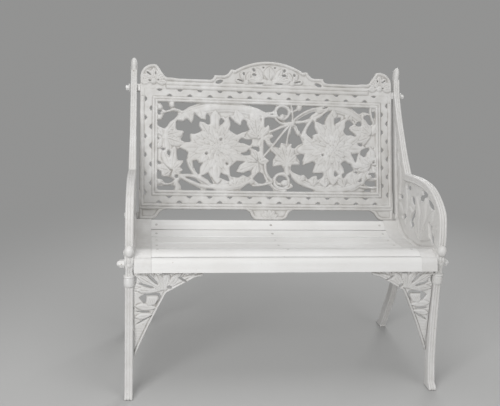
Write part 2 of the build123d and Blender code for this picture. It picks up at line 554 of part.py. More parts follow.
with BuildPart() as right_end_frame:
    with BuildSketch(side_plane(FRAME_MID_X)):
        add(rails)
        with BuildLine():
            Line(*post_line)
        trace(line_width=POST_DEPTH)
        with Locations((TOE_Y, 0), (HEEL_Y, 0)):
            Ellipse(TOE_REACH, TOE_HEIGHT)
    extrude(amount=RAIL_WIDTH / 2, both=True)
    with BuildSketch(side_plane(FRAME_MID_X)):
        Polygon(*web_line, align=None)
        for y, rise, length, width, turn in WEB_GAPS:
            with Locations((y, SEAT_Z + rise)):
                Ellipse(length / 2, width / 2, rotation=turn, mode=Mode.SUBTRACT)
    extrude(amount=WEB_WIDTH / 2, both=True)
    with BuildSketch(side_plane(FRAME_MID_X)):
        add([lobe(*over_seat([base, tip]), width) for base, tip, width in WEB_LEAVES])
        for y, rise, length, width, turn in WEB_GAPS:
            with Locations((y, SEAT_Z + rise)):
                Ellipse(length / 2, width / 2, rotation=turn, mode=Mode.SUBTRACT)
    extrude(amount=WEB_WIDTH / 2 + WEB_RELIEF, both=True)
    split(bisect_by=Plane.XY, keep=Keep.TOP)
    for y, rise in KNOPS:
        with Locations((FRAME_MID_X, FRONT_OFFSET + y, SEAT_Z + rise)):
            Sphere(KNOP_R)
    bud_middle = (FRAME_MID_X, FRONT_OFFSET + BUD_Y, BUD_Z)
    with BuildSketch(Plane(origin=bud_middle, x_dir=(1, 0, 0), z_dir=(0, -1, 0))):
        with BuildLine():
            Polyline((BUD_R, BUD_R / 2), (BUD_NECK_R, -BUD_R), (0, -BUD_R), (0, BUD_HEIGHT - BUD_R))
            Spline((BUD_R, BUD_R / 2), (0, BUD_HEIGHT - BUD_R), tangents=[(0, 1), (-BUD_R, BUD_HEIGHT / 2)])
        make_face()
    revolve(axis=Axis(bud_middle, (0, 0, 1)))
    holes = [(ROD_D, ROD_Y, ROD_Z)]
    holes += [(BACK_BOLT_D, *back_point(s, POST_BEHIND)) for s in BACK_BOLTS.values()]
    holes += [(BEARER_BOLT_D, point.X, point.Y) for point in BEARER_BOLT_POINTS]
    for size, y, z in holes:
        with Locations(along_x(FRAME_MID_X, y, z)):
            Cylinder(size / 2 + HOLE_CLEAR, RAIL_WIDTH * 2, mode=Mode.SUBTRACT)
    for rise in FLANGE_SCREWS:
        with Locations(along_x(FRAME_INNER_X, FLANGE_SCREW_Y, SEAT_Z + rise)):
            Cylinder(SCREW_D / 2 + HOLE_CLEAR, SCREW_GRIP + HOLE_END, align=UPWARD, mode=Mode.SUBTRACT)
right_end_frame.part.label = "right_end_frame"
export_step(right_end_frame.part, "parts/right_end_frame.step")

with BuildPart() as left_end_frame:
    mirror(right_end_frame.part, about=Plane.YZ)
left_end_frame.part.label = "left_end_frame"
export_step(left_end_frame.part, "parts/left_end_frame.step")

# Back: pierced plate with mouldings, crest, ears and the flower panel
crest_top = PANEL_TOP + CREST_RISE
shoulder = PANEL_TOP + CREST_SHOULDER
step = PANEL_TOP + CREST_STEP
ear_s = PANEL_TOP + EAR_RISE
ear_x = PANEL_HALF - EAR_R
ear_heel = PANEL_HALF - EAR_TOE + EAR_R / 2
slot_x = PANEL_HALF - SLOT_OUTER
border_s = [LOW_EDGE + LOW_RAIL + BORDER / 2, WINDOW_TOP + MOULDING + BORDER / 2]
border_x = WINDOW_HALF + MOULDING + BORDER / 2
window_s = WINDOW_LOW + WINDOW_HEIGHT / 2
flower_spots = [spot(x, s) for x, s in FLOWERS]


def ogee(start, end):
    """Two arcs that leave the start level and reach the end level."""
    middle = (Vector(*start) + Vector(*end)) / 2
    first = TangentArc(start, middle, tangent=(1, 0))
    TangentArc(middle, end, tangent=first % 1)


def piercings(pitch, half):
    """Places of one border's two staggered rows: distance along it and the row, +1 outer and -1 inner."""
    inner, outer = floor(half / pitch), floor(half / pitch + 0.5)
    places = [(pitch * index, -1) for index in range(-inner, inner + 1)]
    return places + [(pitch * (index + 0.5), 1) for index in range(-outer, outer)]


def triangle(x, s, turn):
    """One piercing, its flat side turned by an angle."""
    half, rise = PIERCE_LENGTH / 2, PIERCE_WIDTH / 2
    with BuildSketch(Plane.XY) as cut:
        with Locations(Location((x, s), turn)):
            Polygon((-half, rise), (half, rise), (0, -rise), align=None)
    return cut.sketch


def flower(centre):
    """Star of petals with bowed sides."""
    turn = 360 / PETALS
    with BuildSketch(Plane.XY) as star:
        with BuildLine():
            for petal in range(PETALS):
                angle = PETAL_TURN + petal * turn
                tip = centre + Vector(PETAL_TIP_R, 0).rotate(Axis.Z, angle)
                before = centre + Vector(PETAL_NOTCH_R, 0).rotate(Axis.Z, angle - turn / 2)
                after = centre + Vector(PETAL_NOTCH_R, 0).rotate(Axis.Z, angle + turn / 2)
                SagittaArc(before, tip, -PETAL_BULGE)
                SagittaArc(tip, after, -PETAL_BULGE)
        make_face()
    return star.sketch


def gap(corners):
    """One gap of the flower panel."""
    with BuildSketch(Plane.XY) as cut:
        Polygon(*[spot(*corner) for corner in corners], align=None)
    return cut.sketch


with BuildPart() as back_panel:
    with BuildSketch(BACK_REAR):
        with BuildLine():
            Line((0, PANEL_FOOT), (DROP_HALF, PANEL_FOOT))
            ogee((DROP_HALF, PANEL_FOOT), (SLOT_INNER, LOW_EDGE))
            Line((SLOT_INNER, LOW_EDGE), (slot_x, LOW_EDGE))
            ogee((slot_x, LOW_EDGE), (PANEL_HALF - SLOT_FLARE, PANEL_FOOT))
            Polyline((PANEL_HALF - SLOT_FLARE, PANEL_FOOT), (PANEL_HALF, PANEL_FOOT), (PANEL_HALF, ear_s))
            ThreePointArc((PANEL_HALF, ear_s), (ear_x, ear_s + EAR_R), (ear_x - EAR_R, ear_s))
            Polyline((ear_x - EAR_R, ear_s), (ear_heel, ear_s), (PANEL_HALF - EAR_TOE, PANEL_TOP))
            Line((PANEL_HALF - EAR_TOE, PANEL_TOP), (CREST_FOOT, PANEL_TOP))
            TangentArc((CREST_FOOT, PANEL_TOP), (CREST_STEP_OUT, step), tangent=(-1, 0))
            Line((CREST_STEP_OUT, step), (CREST_STEP_IN, step))
            TangentArc((CREST_STEP_IN, step), (CREST_HALF + NUB, shoulder), tangent=(-1, 0))
            ThreePointArc(
                (CREST_HALF + NUB, shoulder),
                (CREST_HALF + NUB / 2, shoulder + NUB_RISE),
                (CREST_HALF, shoulder),
            )
            TangentArc((0, crest_top), (CREST_HALF, shoulder), tangent=(1, 0))
            Line((0, crest_top), (0, PANEL_FOOT))
        make_face()
        mirror(about=Plane.YZ)
        cuts = []
        for along, row in piercings(PIERCE_PITCH, WINDOW_HALF + MOULDING):
            cuts.append(triangle(along, border_s[1] + row * PIERCE_ROW, QUARTER * (1 - row)))
            cuts.append(triangle(along, border_s[0] - row * PIERCE_ROW, QUARTER * (1 + row)))
        for along, row in piercings(PIERCE_PITCH_SIDE, WINDOW_HEIGHT / 2 + MOULDING):
            cuts.append(triangle(border_x + row * PIERCE_ROW, window_s + along, -QUARTER * row))
            cuts.append(triangle(-border_x - row * PIERCE_ROW, window_s + along, QUARTER * row))
        add(cuts, mode=Mode.SUBTRACT)
        for x, rise, length, width, turn in CREST_GAPS:
            for side in SIDES.values():
                with Locations((side * x, PANEL_TOP + rise)):
                    Ellipse(length / 2, width / 2, rotation=side * turn, mode=Mode.SUBTRACT)
    extrude(amount=PLATE)
    with BuildSketch(BACK_REAR):
        with Locations((0, window_s)):
            Rectangle(2 * PANEL_HALF, WINDOW_HEIGHT + 2 * (MOULDING + BORDER + SIDE_RIM))
            Rectangle(
                2 * (PANEL_HALF - SIDE_RIM),
                WINDOW_HEIGHT + 2 * (MOULDING + BORDER),
                mode=Mode.SUBTRACT,
            )
            Rectangle(2 * (WINDOW_HALF + MOULDING), WINDOW_HEIGHT + 2 * MOULDING)
            Rectangle(2 * WINDOW_HALF, WINDOW_HEIGHT, mode=Mode.SUBTRACT)
    extrude(amount=MOULDING_H)
    with BuildSketch(BACK_REAR):
        add([lobe(spot(*base), spot(*tip), width) for base, tip, width in LOBES])
    extrude(amount=LEAF_H)
    with BuildSketch(BACK_REAR):
        add([flower(centre) for centre in flower_spots])
    extrude(amount=PETAL_H)
    with BuildSketch(BACK_REAR):
        with Locations(*flower_spots):
            Circle(CORONA_R)
            Circle(CORONA_R - CORONA_BAND, mode=Mode.SUBTRACT)
    extrude(amount=CORONA_H)
    with BuildSketch(BACK_REAR):
        with Locations(*flower_spots):
            Circle(CENTRE_R)
    extrude(amount=CENTRE_H, taper=CENTRE_TAPER)
    with BuildSketch(BACK_REAR):
        for x, s, radius in BERRIES:
            with Locations(spot(x, s)):
                Circle(radius)
    extrude(amount=BERRY_H, taper=BERRY_TAPER)
    with BuildSketch(BACK_REAR):
        add([gap(corners) for corners in PANEL_GAPS])
        with Locations(*[spot(*place) for place in PIN_HOLES]):
            Circle(PIN_HOLE_R)
        with Locations((0, window_s)):
            Rectangle(2 * WINDOW_HALF, WINDOW_HEIGHT, mode=Mode.INTERSECT)
    extrude(amount=CENTRE_H, mode=Mode.SUBTRACT)
    with BuildSketch(BACK_PLANE.offset(-POST_BEHIND - LUG / 2)):
        for s in BACK_BOLTS.values():
            for side in SIDES.values():
                with Locations((side * (FRAME_INNER_X - LUG_REACH / 2), s)):
                    Rectangle(LUG_REACH, LUG)
    extrude(amount=LUG)
    for s in BACK_BOLTS.values():
        for side in SIDES.values():
            with Locations(along_x(side * FRAME_INNER_X, *back_point(s, POST_BEHIND), -side)):
                Cylinder(
                    BACK_BOLT_D / 2 + HOLE_CLEAR,
                    BACK_BOLT_GRIP + HOLE_END,
                    align=UPWARD,
                    mode=Mode.SUBTRACT,
                )
back_panel.part.label = "back_panel"
export_step(back_panel.part, "parts/back_panel.step")

# End bearers: level with the slats beside the end casting, with a ledge under the slat ends
with BuildPart() as right_bearer:
    with BuildSketch(side_plane(SLAT_END_X + SEAT_CLEAR)):
        nose = front_rail_section([seat_point(0, BEARER_DEPTH + BEARER_LIP)])
        add([nose, seat_band(0, 1, 0, BEARER_DEPTH + BEARER_LIP, LONG_STEPS)])
    extrude(amount=BEARER_WIDTH - SEAT_CLEAR)
    with BuildSketch(side_plane(SLAT_END_X - LEDGE_REACH)):
        add(seat_band(HALF_GAP, 1, LEDGE_TOP, BEARER_DEPTH, LONG_STEPS))
    extrude(amount=LEDGE_REACH + BEARER_WIDTH / 2)
    with Locations(along_x(SLAT_END_X, ROD_Y, ROD_Z)):
        Cylinder(ROD_D / 2 + HOLE_CLEAR, 3 * BEARER_WIDTH, mode=Mode.SUBTRACT)
    for point in BEARER_BOLT_POINTS:
        with Locations(along_x(FRAME_INNER_X, point.X, point.Y, -1)):
            Cylinder(
                BEARER_BOLT_D / 2 + HOLE_CLEAR,
                BEARER_BOLT_GRIP + HOLE_END,
                align=UPWARD,
                mode=Mode.SUBTRACT,
            )
    for start, end in SLATS:
        with Locations(slat_plane(start, end, LEDGE_X)):
            Cylinder(SCREW_D / 2 + HOLE_CLEAR, 3 * SCREW_LENGTH, mode=Mode.SUBTRACT)
right_bearer.part.label = "right_seat_bearer"
export_step(right_bearer.part, "parts/right_seat_bearer.step")

with BuildPart() as left_bearer:
    mirror(right_bearer.part, about=Plane.YZ)
left_bearer.part.label = "left_seat_bearer"
export_step(left_bearer.part, "parts/left_seat_bearer.step")

# Middle bearer: a strap under the slats
with BuildPart() as middle_bearer:
    with BuildSketch(side_plane(0)):
        add(seat_band(HALF_GAP, 1, LEDGE_TOP, BEARER_DEPTH, LONG_STEPS))
    extrude(amount=MIDDLE_BEARER_WIDTH / 2, both=True)
    with Locations(along_x(0, ROD_Y, ROD_Z)):
        Cylinder(ROD_D / 2 + HOLE_CLEAR, 2 * MIDDLE_BEARER_WIDTH, mode=Mode.SUBTRACT)
    for start, end in SLATS:
        with Locations(slat_plane(start, end, 0)):
            Cylinder(SCREW_D / 2 + HOLE_CLEAR, 3 * SCREW_LENGTH, mode=Mode.SUBTRACT)
middle_bearer.part.label = "middle_seat_bearer"
export_step(middle_bearer.part, "parts/middle_seat_bearer.step")

# Front seat rail with a step under the first slat
with BuildPart() as front_rail:
    step_ends = [SEAT_CURVE[0][0], FRONT_EDGE_Y + FRONT_RAIL_DEPTH]
    with BuildSketch(side_plane(-SLAT_END_X)):
        add(front_rail_section(over_seat([(y, FRONT_RAIL_STEP) for y in step_ends])))
    extrude(amount=2 * SLAT_END_X)
    for inset in BRACKET_TABS:
        for side in SIDES.values():
            with Locations((side * (FRAME_INNER_X - inset), FRONT_OFFSET + TAB_SCREW_Y, SEAT_Z)):
                Cylinder(SCREW_D / 2 + HOLE_CLEAR, SCREW_GRIP + HOLE_END, align=UPWARD, mode=Mode.SUBTRACT)
front_rail.part.label = "front_seat_rail"
export_step(front_rail.part, "parts/front_seat_rail.step")

# Slats, curved to the seat, with sunk screw holes
for number, (start, end) in enumerate(SLATS, 1):
    with BuildPart() as slat:
        with BuildSketch(side_plane(-SLAT_END_X)):
            add(seat_band(start, end, 0, SLAT_THICKNESS))
        extrude(amount=2 * SLAT_END_X)
        fillet(slat.edges().filter_by(Axis.X), radius=SLAT_ROUND)
        with Locations(*[slat_plane(start, end, x) for x in (-LEDGE_X, 0, LEDGE_X)]):
            CounterBoreHole(
                SCREW_D / 2 + HOLE_CLEAR,
                SCREW_HEAD_D / 2 + HOLE_CLEAR,
                SCREW_HEAD,
                2 * SLAT_THICKNESS,
            )
    slat.part.label = f"seat_slat_{number}"
    export_step(slat.part, f"parts/seat_slat_{number}.step")

# Slat screws: one group for each bearer
for name, x in (("left", -LEDGE_X), ("middle", 0), ("right", LEDGE_X)):
    with BuildPart() as screws:
        with Locations(*[slat_plane(start, end, x) for start, end in SLATS]):
            Cylinder(SCREW_HEAD_D / 2, SCREW_HEAD, align=DOWNWARD)
            Cylinder(SCREW_D / 2, SCREW_LENGTH, align=DOWNWARD)
    screws.part.label = f"{name}_slat_screws"
    export_step(screws.part, f"parts/{name}_slat_screws.step")

# Leaf brackets in the front corners, with tabs under the front rail and a flange on the leg
with BuildPart() as right_bracket:
    with BuildSketch(front_plane(BRACKET_Y + BRACKET_THICKNESS)):
        with BuildLine():
            Line(bracket_spot(0, 0), bracket_spot(BRACKET_TOP, 0))
            TangentArc(bracket_spot(BRACKET_TOP, 0), bracket_spot(*BRACKET_TIP), tangent=(-1, 0))
            Polyline(*[bracket_spot(*corner) for corner in (BRACKET_TIP, BRACKET_LIP, BRACKET_KNEE)])
            ThreePointArc(*[bracket_spot(*place) for place in (BRACKET_KNEE, BRACKET_WAIST, BRACKET_TAIL)])
            Polyline(bracket_spot(*BRACKET_TAIL), bracket_spot(0, BRACKET_TAIL[1]), bracket_spot(0, 0))
        make_face()
        for inset, rise, length, width, turn in BRACKET_GAPS:
            with Locations(bracket_spot(inset, rise)):
                Ellipse(length / 2, width / 2, rotation=turn, mode=Mode.SUBTRACT)
        Polygon(*[bracket_spot(*corner) for corner in BRACKET_EYE], align=None, mode=Mode.SUBTRACT)
        with Locations(bracket_spot(-RAIL_WIDTH / 2, KNOPS[0][1])):
            Circle(KNOP_R + KNOP_CLEAR, mode=Mode.SUBTRACT)
    extrude(amount=BRACKET_THICKNESS)
    with BuildSketch(front_plane(BRACKET_Y + BRACKET_THICKNESS)):
        add([lobe(bracket_spot(*start), bracket_spot(*end), VEIN_WIDTH) for start, end in BRACKET_VEINS])
        Polygon(*[bracket_spot(*corner) for corner in BRACKET_BUD], align=None)
        for inset, rise, length, width, turn in BRACKET_GAPS:
            with Locations(bracket_spot(inset, rise)):
                Ellipse(length / 2, width / 2, rotation=turn, mode=Mode.SUBTRACT)
    extrude(amount=BRACKET_THICKNESS + BRACKET_RIB)
    with BuildSketch(front_plane(BRACKET_Y)):
        with Locations(*[bracket_spot(inset, -TAB_THICKNESS / 2) for inset in BRACKET_TABS]):
            Rectangle(TAB_WIDTH, TAB_THICKNESS)
    extrude(amount=TAB_DEPTH)
    with BuildSketch(front_plane(BRACKET_Y + BRACKET_THICKNESS)):
        with Locations(bracket_spot(FLANGE_THICKNESS / 2, (FLANGE_TOP + FLANGE_LOW) / 2)):
            Rectangle(FLANGE_THICKNESS, FLANGE_TOP - FLANGE_LOW)
    extrude(amount=-FLANGE_DEPTH)
    for inset in BRACKET_TABS:
        with Locations((FRAME_INNER_X - inset, FRONT_OFFSET + TAB_SCREW_Y, SEAT_Z)):
            Cylinder(SCREW_D / 2 + HOLE_CLEAR, 3 * TAB_THICKNESS, mode=Mode.SUBTRACT)
    for rise in FLANGE_SCREWS:
        with Locations(along_x(FRAME_INNER_X, FLANGE_SCREW_Y, SEAT_Z + rise)):
            Cylinder(SCREW_D / 2 + HOLE_CLEAR, 3 * FLANGE_THICKNESS, mode=Mode.SUBTRACT)
right_bracket.part.label = "right_leaf_bracket"
export_step(right_bracket.part, "parts/right_leaf_bracket.step")

with BuildPart() as left_bracket:
    mirror(right_bracket.part, about=Plane.YZ)
left_bracket.part.label = "left_leaf_bracket"
export_step(left_bracket.part, "parts/left_leaf_bracket.step")

# Bracket screws: two up into the front rail and two into the leg
for name, side in SIDES.items():
    with BuildPart() as screws:
        for inset in BRACKET_TABS:
            x = side * (FRAME_INNER_X - inset)
            with Locations((x, FRONT_OFFSET + TAB_SCREW_Y, SEAT_Z - TAB_THICKNESS)):
                Cylinder(SCREW_HEAD_D / 2, SCREW_HEAD, align=DOWNWARD)
                Cylinder(SCREW_D / 2, TAB_THICKNESS + SCREW_GRIP, align=UPWARD)
        for rise in FLANGE_SCREWS:
            x = side * (FRAME_INNER_X - FLANGE_THICKNESS)
            with Locations(along_x(x, FLANGE_SCREW_Y, SEAT_Z + rise, side)):
                Cylinder(SCREW_HEAD_D / 2, SCREW_HEAD, align=DOWNWARD)
                Cylinder(SCREW_D / 2, FLANGE_THICKNESS + SCREW_GRIP, align=UPWARD)
    screws.part.label = f"{name}_bracket_screws"
    export_step(screws.part, f"parts/{name}_bracket_screws.step")

# Front tie rod with a washer and a domed nut at each end
with BuildPart() as tie_rod:
    with Locations(along_x(0, ROD_Y, ROD_Z)):
        Cylinder(ROD_D / 2, 2 * (NUT_X + ROD_THREAD))
tie_rod.part.label = "front_tie_rod"
export_step(tie_rod.part, "parts/front_tie_rod.step")

for name, side in SIDES.items():
    with BuildPart() as rod_washer:
        add(washer(side * FRAME_OUTER_X, ROD_Y, ROD_Z, side, ROD_D))
    rod_washer.part.label = f"{name}_rod_washer"
    export_step(rod_washer.part, f"parts/{name}_rod_washer.step")

    with BuildPart() as nut:
        with BuildSketch(side_plane(side * NUT_X)):
            with Locations((ROD_Y, ROD_Z)):
                RegularPolygon(NUT_AF / 2, 6, major_radius=False)
        extrude(amount=side * NUT_HEIGHT)
        with Locations(along_x(side * (NUT_X + NUT_HEIGHT), ROD_Y, ROD_Z)):
            Sphere(NUT_DOME_R)
        with Locations(along_x(side * NUT_X, ROD_Y, ROD_Z, side)):
            Cylinder(ROD_D / 2 + HOLE_CLEAR, ROD_THREAD + HOLE_END, align=UPWARD, mode=Mode.SUBTRACT)
    nut.part.label = f"{name}_rod_nut"
    export_step(nut.part, f"parts/{name}_rod_nut.step")

# Back bolts and washers, through the stiles into the lugs of the back
for level, s in BACK_BOLTS.items():
    y, z = back_point(s, POST_BEHIND)
    for name, side in SIDES.items():
        with BuildPart() as back_washer:
            add(washer(side * FRAME_OUTER_X, y, z, side, BACK_BOLT_D))
        back_washer.part.label = f"{name}_{level}_back_washer"
        export_step(back_washer.part, f"parts/{name}_{level}_back_washer.step")

        with BuildPart() as back_bolt:
            length = WASHER_THICKNESS + RAIL_WIDTH + BACK_BOLT_GRIP
            add(hex_bolt(side * NUT_X, y, z, side, BACK_BOLT_D, length, BACK_BOLT_AF, BACK_BOLT_HEAD))
        back_bolt.part.label = f"{name}_{level}_back_bolt"
        export_step(back_bolt.part, f"parts/{name}_{level}_back_bolt.step")

# Bearer bolts: one group for each end casting
for name, side in SIDES.items():
    length = RAIL_WIDTH + BEARER_BOLT_GRIP
    with BuildPart() as bearer_bolts:
        for point in BEARER_BOLT_POINTS:
            x = side * FRAME_OUTER_X
            add(hex_bolt(x, point.X, point.Y, side, BEARER_BOLT_D, length, BEARER_BOLT_AF, BEARER_BOLT_HEAD))
    bearer_bolts.part.label = f"{name}_bearer_bolts"
    export_step(bearer_bolts.part, f"parts/{name}_bearer_bolts.step")
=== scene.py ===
"""Garden seat of painted cast iron with a slatted wooden seat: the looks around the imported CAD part.

Sizes are in millimetres in the part's own frame, and become metres where a mesh is made.
The pierced castings are relief plates: a field that is negative inside the outline,
and a height for each face.
"""
from math import cos, pi, radians, sin

import bpy
import bmesh
import numpy as np
from mathutils import Matrix, Vector


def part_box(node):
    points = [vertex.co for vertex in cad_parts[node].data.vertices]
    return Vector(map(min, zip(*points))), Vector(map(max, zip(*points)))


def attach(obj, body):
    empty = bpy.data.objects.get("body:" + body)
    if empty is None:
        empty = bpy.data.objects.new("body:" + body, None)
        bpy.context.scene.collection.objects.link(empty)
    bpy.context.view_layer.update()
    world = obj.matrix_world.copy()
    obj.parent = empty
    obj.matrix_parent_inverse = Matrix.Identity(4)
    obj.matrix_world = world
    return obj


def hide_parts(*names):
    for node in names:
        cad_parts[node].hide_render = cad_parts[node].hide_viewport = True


MM = 0.001
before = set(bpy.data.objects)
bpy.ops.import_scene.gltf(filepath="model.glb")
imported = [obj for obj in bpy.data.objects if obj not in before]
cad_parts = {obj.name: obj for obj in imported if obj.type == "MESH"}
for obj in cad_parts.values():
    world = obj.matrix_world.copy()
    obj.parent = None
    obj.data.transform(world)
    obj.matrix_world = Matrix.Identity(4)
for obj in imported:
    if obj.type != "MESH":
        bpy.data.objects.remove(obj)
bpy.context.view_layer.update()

# End castings
FRAME_MID_X = 504.0
RAIL_WIDTH = 30.0
WEB_WIDTH = 11.0
RIM_DEPTH = 26.0
POST_DEPTH = 34.0
POST_BEHIND = 17.0
POST_LAP = 90.0
POST_TUCK = 8.0
LEG_DEPTH = 40.0
ANKLE_DEPTH = 32.0
REAR_LEG_DEPTH = 35.0
KNOP_R = 20.0
TOE_Y = -16.0
TOE_REACH = 27.0
TOE_HEIGHT = 24.0
HEEL_Y = 489.0

# Seat
SEAT_Z = 411.0
SEAT_RAIL_TOP = 4.0
SEAT_RAIL_LOW = 32.0

# Back
BACK_Y = 407.6
BACK_RISE = 32.0
RECLINE = 17.9
PLATE = 9.0
PANEL_GAP = 8.0
PANEL_FOOT = 22.0
LOW_EDGE = 60.0
LOW_RAIL = 20.0
SIDE_RIM = 15.0
BORDER = 31.0
MOULDING = 19.0
WINDOW_HEIGHT = 326.0
TOP_RAIL = 39.0
POST_TOP = 575.0
LUG = 26.0
LUG_REACH = 34.0
BACK_BOLTS = [38.0, 508.0]
PIERCE_PITCH = 74.6
PIERCE_PITCH_SIDE = 69.0
PIERCE_LENGTH = 27.0
PIERCE_WIDTH = 9.0
PIERCE_ROW = 8.5
CREST_RISE = 77.0
CREST_HALF = 132.0
CREST_SHOULDER = 39.0
CREST_STEP = 18.0
CREST_STEP_OUT = 210.0
CREST_STEP_IN = 176.0
CREST_FOOT = 226.0
NUB = 18.0
NUB_RISE = 3.0
EAR_R = 48.0
EAR_RISE = 3.0
EAR_TOE = 140.0
DROP_HALF = 45.0
SLOT_INNER = 95.0
SLOT_OUTER = 101.0
SLOT_FLARE = 40.0

# Leaf brackets
BRACKET_Y = 20.0
BRACKET_THICKNESS = 9.0
FLANGE_DEPTH = 13.0
FLANGE_THICKNESS = 8.0
TAB_THICKNESS = 7.0
TAB_WIDTH = 20.0
TAB_DEPTH = 12.0
KNOP_CLEAR = 3.0
BRACKET_TABS = [75, 165]
FLANGE_TOP = -110.0
FLANGE_LOW = -190.0

# Values that follow from the ones above and from the frame
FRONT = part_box("right_end_frame")[0].y / MM + TOE_REACH - TOE_Y
FRAME_INNER_X = FRAME_MID_X - RAIL_WIDTH / 2
PANEL_HALF = FRAME_INNER_X - PANEL_GAP
WINDOW_HALF = PANEL_HALF - SIDE_RIM - BORDER - MOULDING
WINDOW_LOW = LOW_EDGE + LOW_RAIL + BORDER + MOULDING
WINDOW_TOP = WINDOW_LOW + WINDOW_HEIGHT
PANEL_TOP = WINDOW_TOP + MOULDING + BORDER + TOP_RAIL
LEAN = radians(RECLINE)
SIDES = {"left": -1, "right": 1}

# Side view outlines: y from the front edge, and height over SEAT_Z
ARM = [(33, 45), (29, 102), (34, 132), (46, 171), (68, 195), (104, 218), (147, 235), (207, 243),
       (290, 241), (385, 232)]
STILE_RIM = [(374, 238), (417, 284), (468, 351), (519, 420), (554, 475), (580, 524), (597, 562)]
# Legs: y, then height as a share of SEAT_Z
FRONT_LEG = [(36, 1.14), (37, 0.81), (34, 0.69), (25, 0.525), (17, 0.358), (6, 0.19), (-7, 0.07),
             (-15, -0.02)]
REAR_LEG = [(398, 1.0), (377, 0.895), (371, 0.80), (383, 0.657), (403, 0.453), (431, 0.287), (461, 0.136),
            (491, -0.02)]
KNOPS = [(26, -33), (15, 75)]
# Top of the slats: y, and height over SEAT_Z
SEAT_CURVE = [(22, 42), (40, 53), (58, 56), (80, 53), (106, 45), (150, 31), (190, 21), (247, 18), (318, 18),
              (364, 31), (402, 58)]
# Gaps of the leaf web: y, height over SEAT_Z, length, width, turn
WEB_GAPS = [(192, 213, 42, 11, 6), (136, 189, 56, 14, 18), (212, 192, 46, 15, -12), (285, 164, 44, 18, 22),
            (273, 109, 70, 19, -57), (268, 78, 34, 10, -25), (42, 107, 42, 9, 72), (104, 97, 74, 18, 52),
            (408, 255, 32, 12, 32), (405, 152, 30, 9, -8), (352, 88, 32, 12, -25), (448, 88, 30, 10, 72),
            (462, 300, 34, 10, 56), (340, 200, 34, 10, -10)]
# Raised leaves of the web: base, tip, width
WEB_LEAVES = [((190, 45), (62, 128), 38), ((190, 45), (96, 182), 40), ((190, 50), (180, 208), 46),
              ((195, 48), (262, 190), 44), ((200, 45), (318, 140), 44), ((330, 60), (420, 128), 36),
              ((335, 62), (372, 214), 42), ((420, 130), (448, 262), 38), ((440, 200), (500, 352), 34)]

FLOWERS = [(-200, 292), (241, 292)]
# Leaf lobes: base, tip, width
LOBES = [
    ((-335, 418), (-325, 384), 28), ((-305, 428), (-293, 378), 28), ((-262, 436), (-248, 390), 36),
    ((-128, 436), (-106, 372), 42), ((-48, 335), (-92, 404), 36), ((-48, 335), (-58, 452), 44),
    ((-48, 335), (6, 426), 36), ((-45, 325), (2, 380), 28), ((-40, 330), (-84, 350), 24),
    ((-32, 326), (20, 336), 24), ((-28, 318), (13, 308), 22), ((-45, 236), (-128, 200), 36),
    ((-45, 240), (-114, 262), 30), ((-45, 244), (-72, 296), 24), ((-40, 240), (-30, 330), 30),
    ((-42, 240), (1, 245), 28), ((-45, 238), (-58, 178), 30), ((-132, 146), (-110, 186), 40),
    ((-92, 152), (-94, 194), 34), ((-62, 165), (-62, 206), 30), ((-120, 146), (-154, 168), 26),
    ((-395, 330), (-336, 408), 40), ((-395, 330), (-317, 350), 40), ((-398, 326), (-318, 302), 40),
    ((-398, 330), (-426, 374), 34), ((-400, 322), (-428, 286), 36), ((-362, 205), (-319, 240), 32),
    ((-362, 202), (-319, 207), 26), ((-364, 205), (-354, 292), 38), ((-366, 205), (-396, 280), 34),
    ((-370, 202), (-428, 214), 40), ((-366, 202), (-402, 178), 30), ((-360, 202), (-348, 172), 26),
    ((66, 232), (13, 221), 36), ((66, 232), (6, 296), 40), ((66, 232), (42, 317), 34),
    ((66, 232), (88, 315), 34), ((66, 232), (106, 270), 32), ((66, 232), (119, 231), 32),
    ((395, 350), (311, 373), 40),
    ((395, 352), (334, 404), 34), ((398, 352), (362, 432), 36), ((395, 345), (326, 318), 42),
    ((400, 350), (428, 396), 30), ((395, 235), (352, 270), 40), ((395, 235), (342, 244), 36),
    ((395, 232), (344, 214), 34), ((398, 238), (392, 304), 38), ((402, 236), (428, 262), 34),
    ((400, 230), (428, 202), 30), ((108, 166), (131, 198), 34), ((166, 152), (172, 194), 44),
    ((214, 148), (212, 186), 40), ((286, 148), (276, 196), 40), ((330, 152), (318, 208), 50),
    ((350, 160), (362, 206), 36), ((318, 432), (300, 404), 34), ((250, 446), (240, 404), 40)]
